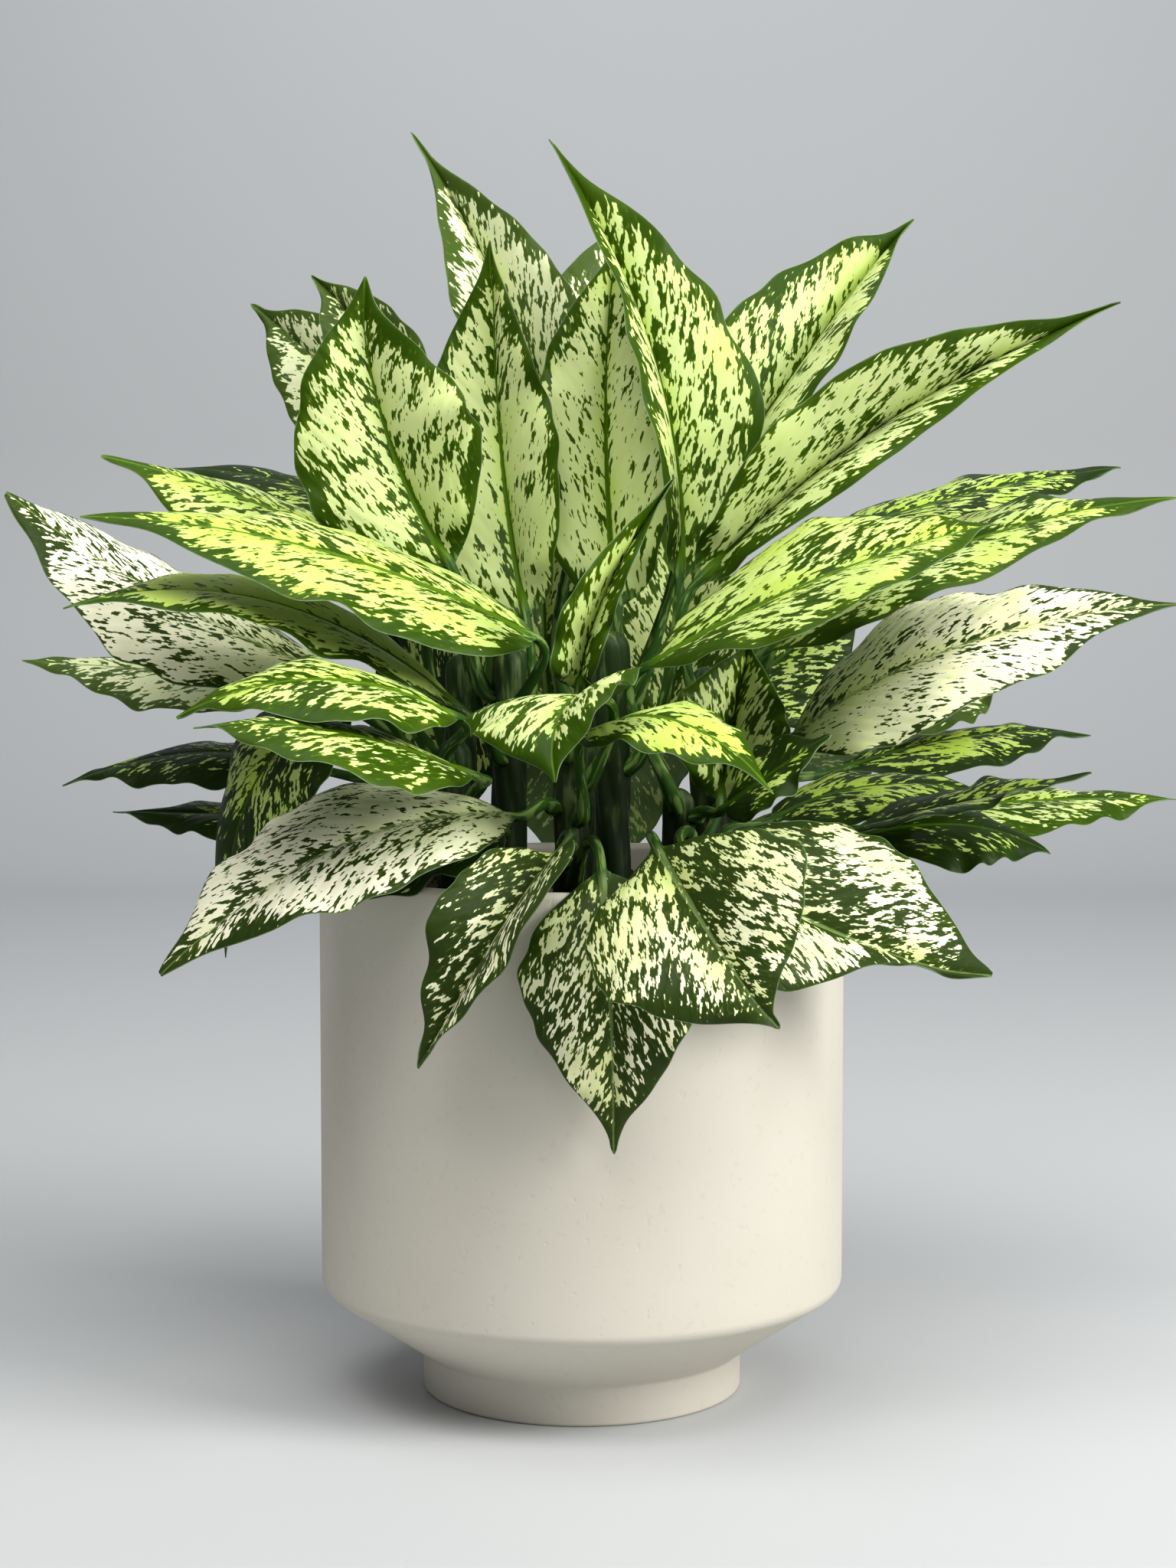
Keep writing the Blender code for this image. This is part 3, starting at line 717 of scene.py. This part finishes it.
def turned(profile: list[Two], steps: int, centre: Two = (0.0, 0.0)) -> bmesh.types.BMesh:
    """Turns a profile about an upright axis.

    Args:
        profile: radius and height pairs in metres, from one end on the axis to the other.
        steps: how many sides the turned shape gets.
        centre: where the axis stands.

    Returns:
        The closed shape.
    """
    bm = bmesh.new()
    verts = [bm.verts.new((centre[0] + radius, centre[1], height)) for radius, height in profile]
    edges = [bm.edges.new(pair) for pair in zip(verts, verts[1:])]
    bmesh.ops.spin(bm, geom=verts + edges, cent=(*centre, 0.0), axis=(0.0, 0.0, 1.0), angle=math.tau,
                   steps=steps, use_merge=True)
    bmesh.ops.remove_doubles(bm, verts=bm.verts, dist=0.00001)
    return bm


def arc(centre: Two, radius: float, start: float, end: float, steps: int) -> list[Two]:
    """Points on an arc of a profile, from one angle to another in degrees."""
    turns = np.radians(np.linspace(start, end, steps + 1))
    return [(centre[0] + radius * math.cos(a), centre[1] + radius * math.sin(a)) for a in turns]


@dataclass(frozen=True)
class Pot:
    """The ceramic pot. Sizes are in metres."""

    radius: float = 0.126
    height: float = 0.253
    wall: float = 0.007
    floor: float = 0.060
    floor_corner: float = 0.004
    foot_radius: float = 0.077
    foot_height: float = 0.020
    foot_edge: float = 0.0018
    neck: float = 0.0025
    shoulder: float = 0.0505
    turn: float = 0.007
    steps: int = 160

    def profile(self) -> list[Two]:
        """The section: under the foot, out over the bevel, up the wall, over the lip and down inside.

        Returns:
            Radius and height pairs, from one end on the axis to the other.
        """
        lip = self.wall / 2
        inner = self.radius - self.wall
        wall_top = self.height - self.wall
        corner = self.floor + self.floor_corner
        slope = math.degrees(math.atan2(self.shoulder - self.foot_height, self.radius - self.foot_radius))
        points = [(0.0, 0.0), (0.03, 0.0), (0.06, 0.0)]
        points += arc((self.foot_radius - self.foot_edge, self.foot_edge), self.foot_edge, -90, 0, 5)
        points += [(self.foot_radius, self.foot_height / 2)]
        points += arc((self.foot_radius + self.neck, self.foot_height - self.neck), self.neck, 180, 122, 4)
        bend = (self.radius - self.turn, self.shoulder + self.turn * 0.75)
        points += arc(bend, self.turn, slope - 90, 0, 8)
        points += [(self.radius, z) for z in np.linspace(self.shoulder + 2 * self.turn, wall_top, 12)]
        points += arc((self.radius - lip, self.height - lip), lip, 0, 180, 12)
        points += [(inner, z) for z in np.linspace(wall_top, corner, 8)]
        points += arc((inner - self.floor_corner, corner), self.floor_corner, 0, -90, 4)
        return points + [(0.0, self.floor)]

    def build(self) -> Piece:
        """Makes the pot in place of its solid.

        Returns:
            The piece.
        """
        bm = turned(self.profile(), self.steps)
        piece = placed("pot_ceramic", bm, CeramicFinish().build(), sharp_above=50.0)
        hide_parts("pot")
        return piece


@dataclass(frozen=True)
class Soil:
    """Crumbly soil inside the pot. Sizes are in metres, but `hill` and `lump` say how many fit in a metre."""

    pot: Pot
    below_rim: float = 0.015
    gap: float = 0.0004
    lift: float = 0.001
    corner: float = 0.004
    skirt: float = 0.01
    rings: int = 44
    steps: int = 150
    swell: float = 0.0035
    hill: float = 30.0
    lump: float = 160.0
    crumbs: int = 620
    smallest: float = 0.0012
    spread: float = 0.0022
    clear: float = 0.006
    seed: int = 8

    def top(self, x: float, y: float) -> float:
        """The height of the soil at a point.

        Args:
            x: how far right the point is.
            y: how far back it is.

        Returns:
            The height over the ground.
        """
        level = self.pot.height - self.below_rim
        hills = noise.noise(Vector((x * self.hill, y * self.hill, 1.0))) * self.swell
        lumps = noise.noise(Vector((x * self.lump, y * self.lump, 4.0))) * self.swell * 0.5
        return level + hills + lumps

    def build(self) -> Piece:
        """Makes the soil in place of its solid.

        Returns:
            The piece.
        """
        rng = np.random.default_rng(self.seed)
        outer = self.pot.radius - self.pot.wall - self.gap
        level = self.pot.height - self.below_rim
        low = self.pot.floor + self.lift
        profile = [(0.0, low), (outer - self.corner, low), (outer, low + self.corner)]
        profile += [(outer, level - self.skirt)]
        profile += [(radius, level) for radius in np.linspace(outer, 0.0, self.rings)]
        bm = turned(profile, self.steps)
        for vert in bm.verts:
            if vert.co.z > level - self.skirt / 2:
                vert.co.z = self.top(vert.co.x, vert.co.y)
        for _ in range(self.crumbs):
            distance = (outer - self.clear) * math.sqrt(rng.random())
            turn = rng.random() * math.tau
            x, y = distance * math.cos(turn), distance * math.sin(turn)
            size = self.smallest + self.spread * rng.random() ** 2
            stretch = Matrix.Diagonal((1.0, 0.5 + rng.random(), 0.4 + 0.5 * rng.random(), 1.0))
            spin = Matrix.Rotation(rng.random() * math.tau, 4, Vector(rng.normal(size=3)))
            put = Matrix.Translation((x, y, self.top(x, y) + size * 0.3))
            bmesh.ops.create_icosphere(bm, subdivisions=1, radius=size, matrix=put @ spin @ stretch)
        piece = placed("soil_crumb", bm, SoilFinish().build(), sharp_above=80.0)
        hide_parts("soil")
        return piece


@dataclass(frozen=True)
class Canes:
    """The upright canes, wrapped in the sheaths of their leaf stalks.

    `foot`, the height of their lower ends over the rim, and `rise`, that of a ring of their mesh, are in
    metres, and `twist` and `laps` in radians a metre. The dome's and the depths' sizes are shares of the
    radius.
    """

    pot: Pot
    foot: float = -0.050
    rise: float = 0.0035
    dome: float = 0.9
    dome_radius: float = 0.98
    folds: int = 5
    depth: float = 0.16
    roundness: float = 0.6
    twist: float = 26.0
    laps: float = 95.0
    lap_depth: float = 0.05
    steps: int = 60

    def build_one(self, number: int, name: str, row: CaneRow, material: Material) -> Piece:
        """Makes one cane in place of its solid.

        Args:
            number: its place in the list.
            name: the cane's name in the list.
            row: its place and size.
            material: its finish.

        Returns:
            The piece.
        """
        radius, low, high = row.radius * MM, self.pot.height + self.foot, self.pot.height + row.top * MM
        neck = high - radius * self.dome
        profile = [(0.0, low)] + [(radius, height) for height in np.arange(low, neck, self.rise)]
        profile += arc((0.0, neck), radius * self.dome_radius, 0, 90, 7)
        middle = (row.x * MM, row.y * MM)
        bm = turned(profile, self.steps, middle)
        for vert in bm.verts:
            x, y = vert.co.x - middle[0], vert.co.y - middle[1]
            turn = math.atan2(y, x) + vert.co.z * self.twist + number
            lobe = abs(math.sin(turn * self.folds / 2)) ** self.roundness
            lap = 0.5 + 0.5 * math.sin(vert.co.z * self.laps + turn * 2.0)
            shrink = 1.0 - self.depth * (1.0 - lobe) - self.lap_depth * lap
            vert.co.x, vert.co.y = middle[0] + x * shrink, middle[1] + y * shrink
        piece = placed(f"stem_{name}", bm, material, sharp_above=70.0)
        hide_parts(f"cane_{name}")
        return piece

    def build(self) -> list[Piece]:
        """Makes every cane."""
        material = CaneFinish().build()
        return [self.build_one(number, name, CANES[name], material) for number, name in enumerate(CANES)]


def unit(vectors: Array) -> Array:
    """The vectors, each one long."""
    return vectors / np.maximum(np.linalg.norm(vectors, axis=-1, keepdims=True), 1e-12)


def both(value: Pair) -> Two:
    """A value for the left and the right half of a blade."""
    return value if isinstance(value, tuple) else (value, value)


def heading(azimuth: float, elevation: float = 0.0) -> Array:
    """The direction at this azimuth and elevation in degrees: 0 is the front and 90 the right."""
    turn, lift = math.radians(azimuth), math.radians(elevation)
    return np.array([math.sin(turn) * math.cos(lift), -math.cos(turn) * math.cos(lift), math.sin(lift)])


def smooth(values: Array, low: float, high: float) -> Array:
    """A smooth step from 0 to 1 as the values go from low to high."""
    share = np.clip((values - low) / (high - low), 0.0, 1.0)
    return share * share * (3.0 - 2.0 * share)


class Wave(NamedTuple):
    """A wave along a leaf: how many fit on the blade, and how far each leaf and each side shift it."""

    count: float
    by_leaf: float
    by_side: float

    def height(self, u: Array, number: int, side: Array | float) -> Array:
        """Its height from -1 to 1 at lengths u on a leaf of this number."""
        return np.sin(math.tau * (self.count * u + self.by_leaf * number + self.by_side * side))


class Stations(NamedTuple):
    """Cross sections along a leaf: centres, directions and half sizes, one row each, in millimetres."""

    centre: Array
    tangent: Array
    normal: Array
    left: Array
    right: Array
    over: Array
    beneath: Array
    along: Array
    blade: Array


@dataclass(frozen=True)
class LeafShape:
    """What every leaf shares: how its stalk and blade are cut.

    Lengths are in millimetres. A `_run` is where a change starts and ends, in shares of the blade or the
    stalk. `stalk_radii` are at the cane and at the blade, `stalk_lean` is how far a stalk first goes out and
    up, and `ripple_swing` is the middle and the swing of the ripple's strength.
    """

    reaches: tuple[float, ...] = (0.0, 0.02, 0.05, 0.09, 0.14, 0.2, 0.275, 0.36, 0.46, 0.57, 0.69, 0.8, 0.9,
                                  0.975, 1.0)
    stalk_steps: int = 18
    blade_steps: int = 62
    stalk_radii: Two = (3.0, 2.2)
    stalk_lean: Two = (0.6, 0.8)
    stalk_turn: float = 0.35
    sheath: float = 1.2
    sheath_run: Two = (0.0, 0.35)
    sunk: float = 2.5
    flush_run: Two = (0.0, 0.16)
    open_run: Two = (0.0, 0.10)
    kind_run: Two = (0.0, 0.05)
    end: float = 0.984
    skin: float = 0.42
    cup: float = 20.0
    cup_middle: float = 0.6
    wave: float = 2.0
    wave_line: Wave = Wave(2.5, 0.618, 0.37)
    ripple: float = 2.2
    ripple_line: Wave = Wave(5.3, 1.9158, 0.21)
    ripple_swell: Wave = Wave(1.4, 1.0506, 0.4)
    ripple_swing: Two = (0.55, 0.45)
    nick: Two = (0.022, 0.0132)
    nick_lines: tuple[Wave, Wave] = (Wave(4.3, 0.41, 1.0), Wave(7.9, 0.29, 1.0))
    nick_sides: Two = (0.0, 1.7)
    narrowest: float = 2.5
    narrow_share: float = 0.07
    drip: float = 0.28
    drip_middle: float = 0.92
    drip_share: float = 0.09
    point: float = 0.35
    rib_end: float = 0.35
    thin: float = 0.35
    thin_share: float = 0.08
    tip_bend: float = 2.6
    bend_run: Two = (0.8, 1.0)
    bend_step: float = 2.4
    groove: float = 0.32
    groove_width: float = 1.7
    groove_run: Two = (0.12, 0.25)
    seed_step: float = 3.7

    def spread(self) -> Array:
        """How far across the blade each point lies, from -1 at the left margin to 1 at the right."""
        right = np.array(self.reaches)
        return np.concatenate([-right[:0:-1], right])

    def round_spread(self) -> Array:
        """The same number of points, spaced as round a circle."""
        return np.sin(np.linspace(-1, 1, 2 * len(self.reaches) - 1) * math.pi / 2)

    def near_tip(self, u: Array, share: float) -> Array:
        """A round fall from 1 to 0 over this share of the blade at its tip."""
        return np.sqrt(np.clip((self.end - u) / share, 0, 1))


@dataclass(frozen=True)
class Leaf:
    """One leaf, stalk and blade, as one thin closed skin."""

    row: LeafRow
    shape: LeafShape
    number: int

    def midrib(self, u: Array) -> tuple[Array, Array, Array]:
        """The blade's midrib.

        Args:
            u: lengths along it, from 0 to 1.

        Returns:
            Points, tangents and upper normals at these lengths.
        """
        row = self.row
        base, middle, tip = (np.array(point, float) for point in (row.base, row.middle, row.tip))
        pull = 2 * middle - (base + tip) / 2
        u = u[:, None]
        points = (1 - u) ** 2 * base + 2 * u * (1 - u) * pull + u ** 2 * tip
        tangents = unit(2 * (1 - u) * (pull - base) + 2 * u * (tip - pull))
        face = heading(*row.face)
        return points, tangents, unit(face - (tangents @ face)[:, None] * tangents)

    def half_widths(self, u: Array) -> list[Array]:
        """How wide the blade is.

        Args:
            u: lengths along it, from 0 to 1.

        Returns:
            The left and the right half width at these lengths.
        """
        row, shape, halves = self.row, self.shape, []
        least = shape.point + (shape.narrowest - shape.point) * shape.near_tip(u, shape.narrow_share)
        drip = shape.drip * np.exp(-((u - shape.drip_middle) / shape.drip_share) ** 2)
        for side, width, belly, sharp in zip(shape.nick_sides, both(row.width), both(row.belly),
                                             both(row.sharp)):
            fullness = sharp * belly / (1 - belly)
            widest = belly ** fullness * (1 - belly) ** sharp
            half = width / 2 * u ** fullness * (1 - u) ** sharp / widest
            nicks = sum(nick * line.height(u, self.number, side)
                        for nick, line in zip(shape.nick, shape.nick_lines))
            halves.append(np.maximum(half * (1 + nicks - drip), least))
        return halves

    def stalk(self) -> tuple[Array, Array, Array, float]:
        """The line of the stalk, from its cane to the blade.

        Returns:
            Centres, tangents and normals of its cross sections, and its length.
        """
        row, shape, cane = self.row, self.shape, CANES[self.row.cane]
        axis, base = np.array([cane.x, cane.y, row.joins]), np.array(row.base, float)
        outward = unit((base - axis) * (1, 1, 0)) if row.out is None else heading(row.out)
        start = axis + outward * cane.radius
        _, tangent, normal = (part[0] for part in self.midrib(np.zeros(1)))
        length = float(np.linalg.norm(base - start))
        lean = outward * shape.stalk_lean[0] + np.array([0, 0, shape.stalk_lean[1]])
        first = start + lean * length * row.rise
        second = base - tangent * length * shape.stalk_turn
        w = np.linspace(0, 1, shape.stalk_steps + 1)[:, None]
        centres = ((1 - w) ** 3 * start + 3 * w * (1 - w) ** 2 * first + 3 * w ** 2 * (1 - w) * second
                   + w ** 3 * base)
        tangents = unit((1 - w) ** 2 * (first - start) + 2 * w * (1 - w) * (second - first)
                        + w ** 2 * (base - second))
        normals = []
        for heads in tangents[::-1]:
            normal = unit(normal - (normal @ heads) * heads)
            normals.insert(0, normal)
        centres[0] -= outward * shape.sunk
        return centres[:-1], tangents[:-1], np.array(normals)[:-1], length

    def stations(self) -> Stations:
        """Cuts the leaf across.

        Returns:
            Every cross section from the cane to the tip.
        """
        shape = self.shape
        centres, tangents, normals, length = self.stalk()
        u = np.linspace(0, shape.end, shape.blade_steps + 1)
        points, heads, faces = self.midrib(u)
        bend = shape.tip_bend * math.sin(self.number * shape.bend_step) * smooth(u, *shape.bend_run)
        points = points + np.cross(heads, faces) * bend[:, None]
        left, right = self.half_widths(u)
        w = np.linspace(0, 1, shape.stalk_steps, endpoint=False)
        radii = np.interp(w, (0, 1), shape.stalk_radii) + shape.sheath * (1 - smooth(w, *shape.sheath_run))
        over = shape.stalk_radii[1] * (1 - smooth(u, *shape.flush_run))
        beneath = np.interp(u, (0, 1), (shape.stalk_radii[1], shape.rib_end))
        span = float(np.linalg.norm(np.diff(points, axis=0), axis=1).sum())
        pairs = ((centres, points), (tangents, heads), (normals, faces), (radii, left), (radii, right),
                 (radii, over), (radii, beneath), ((w - 1) * length, u * span), (np.full(len(w), -1.0), u))
        return Stations(*(np.concatenate(pair) for pair in pairs))

    def skin(self) -> tuple[Array, dict[str, Array]]:
        """Points of the skin, one row of them round each cross section, and their attributes.

        Returns:
            Points in millimetres from the rim's middle, and three attributes by name: leaf_place with along,
            across and margin in metres, leaf_kind with underside, blade and fill, and leaf_seed with seed,
            tint and length.
        """
        shape, s = self.shape, self.stations()
        u = np.clip(s.blade, 0, 1)[:, None]
        opened = smooth(s.blade, *shape.open_run)[:, None]
        v = shape.round_spread() * (1 - opened) + shape.spread() * opened
        side, reach = np.sign(v), np.abs(v)
        half = np.where(side < 0, s.left[:, None], s.right[:, None])
        angle = np.radians(self.row.fold - shape.cup * (reach - shape.cup_middle)) * opened
        wave = shape.wave * reach ** 2 * shape.wave_line.height(u, self.number, side)
        rest, swing = shape.ripple_swing
        swell = rest + swing * shape.ripple_swell.height(u, self.number, side)
        wave += shape.ripple * swell * reach ** 4 * shape.ripple_line.height(u, self.number, side)
        across = v * half * np.cos(angle)
        raised = reach * half * np.sin(angle) + wave * np.sqrt(np.sin(math.pi * u).clip(0)) * opened
        sideways = np.cross(s.tangent, s.normal)[:, None]
        middle = s.centre[:, None] + sideways * across[..., None] + s.normal[:, None] * raised[..., None]
        lift = unit(np.cross(np.gradient(middle, axis=1), s.tangent[:, None]))
        lift = np.where(((lift * s.normal[:, None]).sum(-1) < 0)[..., None], -lift, lift)
        distance = reach * half
        taper = shape.thin + (1 - shape.thin) * shape.near_tip(u, shape.thin_share)
        skin = shape.skin * taper * np.sqrt(np.clip(1 - reach ** 12, 0, 1)) * opened
        up = np.hypot(skin, np.sqrt(np.clip(s.over[:, None] ** 2 - distance ** 2, 0, None)))
        grooved = smooth(s.blade, *shape.groove_run)[:, None] * taper
        up -= shape.groove * np.exp(-(distance / shape.groove_width) ** 2) * grooved
        down = np.hypot(skin, np.sqrt(np.clip(s.beneath[:, None] ** 2 - distance ** 2, 0, None)))
        upper, lower = middle + lift * up[..., None], middle - lift * down[..., None]
        points = np.concatenate([upper, lower[:, -2::-1]], axis=1)
        plan = np.stack([np.broadcast_to(s.along[:, None], v.shape), v * half, (1 - reach) * half], -1) * MM
        kind, seed = np.zeros(points.shape), np.zeros(points.shape)
        kind[:, v.shape[1]:, 0] = 1.0
        kind[..., 1] = smooth(s.blade, *shape.kind_run)[:, None]
        kind[..., 2] = self.row.fill
        seed[..., 0] = self.number * shape.seed_step + 1.0
        seed[..., 1] = self.row.tint
        seed[..., 2] = u
        place = np.concatenate([plan, plan[:, -2::-1]], axis=1)
        return points, {"leaf_place": place, "leaf_kind": kind, "leaf_seed": seed}

    def build(self, pot: Pot, material: Material) -> Piece:
        """Makes the leaf in place of its solid.

        Args:
            pot: the pot, for the height of its rim.
            material: the leaf's finish.

        Returns:
            The piece.
        """
        points, attributes = self.skin()
        rows, columns = points.shape[:2]
        bm = bmesh.new()
        bm.loops.layers.uv.new("OFBake")
        layers = [(bm.verts.layers.float_vector.new(name), values) for name, values in attributes.items()]
        bmesh.ops.create_grid(bm, x_segments=columns - 1, y_segments=rows - 1, size=0.5, calc_uvs=True)
        bm.verts.ensure_lookup_table()
        points = np.clip(points * MM + np.array([0.0, 0.0, pot.height]), *CAD_BOX)
        for index, vert in enumerate(bm.verts):
            place = divmod(index, columns)
            vert.co = points[place]
            for layer, values in layers:
                vert[layer] = values[place]
        bmesh.ops.remove_doubles(bm, verts=bm.verts, dist=LEAF_WELD)
        bmesh.ops.holes_fill(bm, edges=bm.edges, sides=0)
        piece = placed(f"{self.row.name}_blade", bm, material, sharp_above=75.0)
        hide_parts(self.row.name)
        return piece


FINISHES: tuple[LeafFinish, ...] = (
    LeafFinish(Tone.LIME, ground=(0.024, 0.058, 0.0), ground_light=(0.088, 0.155, 0.001),
               patch=(0.59, 0.67, 0.30), patch_tint=(0.455, 0.60, 0.10), base_tint=(0.47, 0.62, 0.18),
               base_share=0.35, rib=(0.070, 0.150, 0.004), rib_pale=0.0, rib_width=1.5, hem=4.2,
               dot=(4.8, 1.9)),
    LeafFinish(Tone.CREAM, ground=(0.045, 0.080, 0.010), ground_light=(0.12, 0.18, 0.04),
               patch=(0.71, 0.76, 0.46), patch_tint=(0.60, 0.69, 0.22), base_tint=(0.55, 0.67, 0.28),
               base_share=0.3, rib=(0.07, 0.14, 0.015), rib_pale=0.2, rib_width=1.2),
    LeafFinish(Tone.IVORY, ground=(0.020, 0.038, 0.004), ground_light=(0.070, 0.110, 0.010),
               patch=(0.85, 0.83, 0.63), patch_tint=(0.61, 0.66, 0.26), base_tint=(0.30, 0.42, 0.03),
               base_share=0.5, rib=(0.12, 0.18, 0.05), rib_pale=0.6, band=5.5, hem=1.4,
               grit=(1.5, 0.8), dot=(3.2, 1.5), streak=(3.2, 3.4), blotch=(9.0, 7.0)),
    # leaf_dark: darker greens and duller patches, partly the real colour of darker leaves, partly painted
    # shade for leaves inside the foliage
    LeafFinish(Tone.DARK_AND_SHADED, ground=(0.009, 0.023, 0.001), ground_light=(0.040, 0.085, 0.003),
               patch=(0.48, 0.56, 0.22), patch_tint=(0.36, 0.51, 0.05), base_tint=(0.32, 0.45, 0.05),
               base_share=0.4, rib=(0.032, 0.080, 0.003), rib_pale=0.0, hem=3.4,
               dot=(4.4, 1.9), streak=(3.8, 4.0)),
)


class Lamp(NamedTuple):
    """A soft square light: where it hangs, what it shines at, its side in metres and its power in watts."""

    name: str
    place: Three
    aim: Three
    size: float
    power: float
    colour: Colour

    def hang(self) -> None:
        """Hangs the light."""
        data = bpy.data.lights.new(self.name, "AREA")
        data.shape, data.size, data.energy, data.color = "SQUARE", self.size, self.power, self.colour
        light = bpy.data.objects.new(self.name, data)
        light.location = self.place
        light.rotation_euler = (Vector(self.aim) - Vector(self.place)).to_track_quat("-Z", "Y").to_euler()
        bpy.context.scene.collection.objects.link(light)


@dataclass(frozen=True)
class Studio:
    """Pale floor that turns up into a backdrop, soft lights and the camera. Lengths are in metres."""

    camera_place: Three = (0.003, -1.355, 0.387)
    camera_pitch: float = 4.0
    lens: float = 64.8
    width: float = 14.0
    far: float = 2.8
    height: float = 5.0
    turn: float = 0.6
    world: Colour = (0.80, 0.82, 0.85)
    world_strength: float = 0.24
    lamps: tuple[Lamp, ...] = (
        Lamp("key", place=(1.85, -0.95, 1.35), aim=(0.0, 0.0, 0.3), size=1.0, power=64.0,
             colour=(1.0, 0.99, 0.96)),
        Lamp("top", place=(0.25, -1.1, 2.05), aim=(0.0, 0.0, 0.35), size=1.5, power=32.0,
             colour=(0.99, 1.0, 0.99)),
        Lamp("fill", place=(-0.62, -0.85, 2.15), aim=(-0.1, 0.0, 0.4), size=1.2, power=22.0,
             colour=(1.0, 0.98, 0.94)),
        Lamp("backdrop", place=(0.0, 1.3, 2.6), aim=(0.0, 2.8, 0.9), size=1.8, power=24.0,
             colour=(0.93, 0.97, 1.0)),
    )

    def floor(self) -> None:
        """Lays the floor and bends its far side up behind the plant."""
        bm = bmesh.new()
        bmesh.ops.create_grid(bm, x_segments=1, y_segments=1, size=self.width / 2)
        bmesh.ops.translate(bm, verts=bm.verts, vec=(0.0, self.far - self.width / 2, 0.0))
        edges = [edge for edge in bm.edges if all(vert.co.y > self.far - 0.01 for vert in edge.verts)]
        raised = bmesh.ops.extrude_edge_only(bm, edges=edges)["geom"]
        top = [part for part in raised if isinstance(part, bmesh.types.BMVert)]
        bmesh.ops.translate(bm, verts=top, vec=(0.0, 0.0, self.height))
        fold = [edge for edge in bm.edges if len(edge.link_faces) == 2]
        bmesh.ops.bevel(bm, geom=fold, offset=self.turn, segments=16, profile=0.5, affect="EDGES",
                        material=-1)
        placed("floor", bm, FloorFinish().build())

    def camera(self) -> None:
        """Sets the camera at the photo's place."""
        data = bpy.data.cameras.new("camera")
        data.lens = self.lens
        data.sensor_width = 36.0
        camera = bpy.data.objects.new("camera", data)
        camera.location = self.camera_place
        camera.rotation_euler = (math.radians(90.0 - self.camera_pitch), 0.0, 0.0)
        bpy.context.scene.collection.objects.link(camera)
        bpy.context.scene.camera = camera

    def air(self) -> None:
        """Sets the air's own pale light."""
        world = bpy.data.worlds.new("air")
        world.use_nodes = True
        background = world.node_tree.nodes["Background"]
        background.inputs["Color"].default_value = (*self.world, 1.0)
        background.inputs["Strength"].default_value = self.world_strength
        bpy.context.scene.world = world

    def build(self) -> None:
        """Sets up the studio."""
        self.floor()
        self.camera()
        for lamp in self.lamps:
            lamp.hang()
        self.air()


def ridden(piece: Piece) -> None:
    """Lets a piece ride on the pot's body and reports it."""
    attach(piece, BODY)
    LOG.info("%s: %d faces", piece.name, len(piece.data.polygons))


def main() -> None:
    """Builds the plant and its studio."""
    logging.basicConfig(level=logging.INFO, format="%(message)s")
    bpy.context.scene.view_settings.view_transform = "Standard"
    pot, shape = Pot(), LeafShape()
    ridden(pot.build())
    ridden(Soil(pot).build())
    for cane in Canes(pot).build():
        ridden(cane)
    materials = {finish.tone: finish.build() for finish in FINISHES}
    for number, row in enumerate(LEAVES):
        ridden(Leaf(row, shape, number).build(pot, materials[row.tone]))
    Studio().build()


if __name__ == "__main__":
    main()
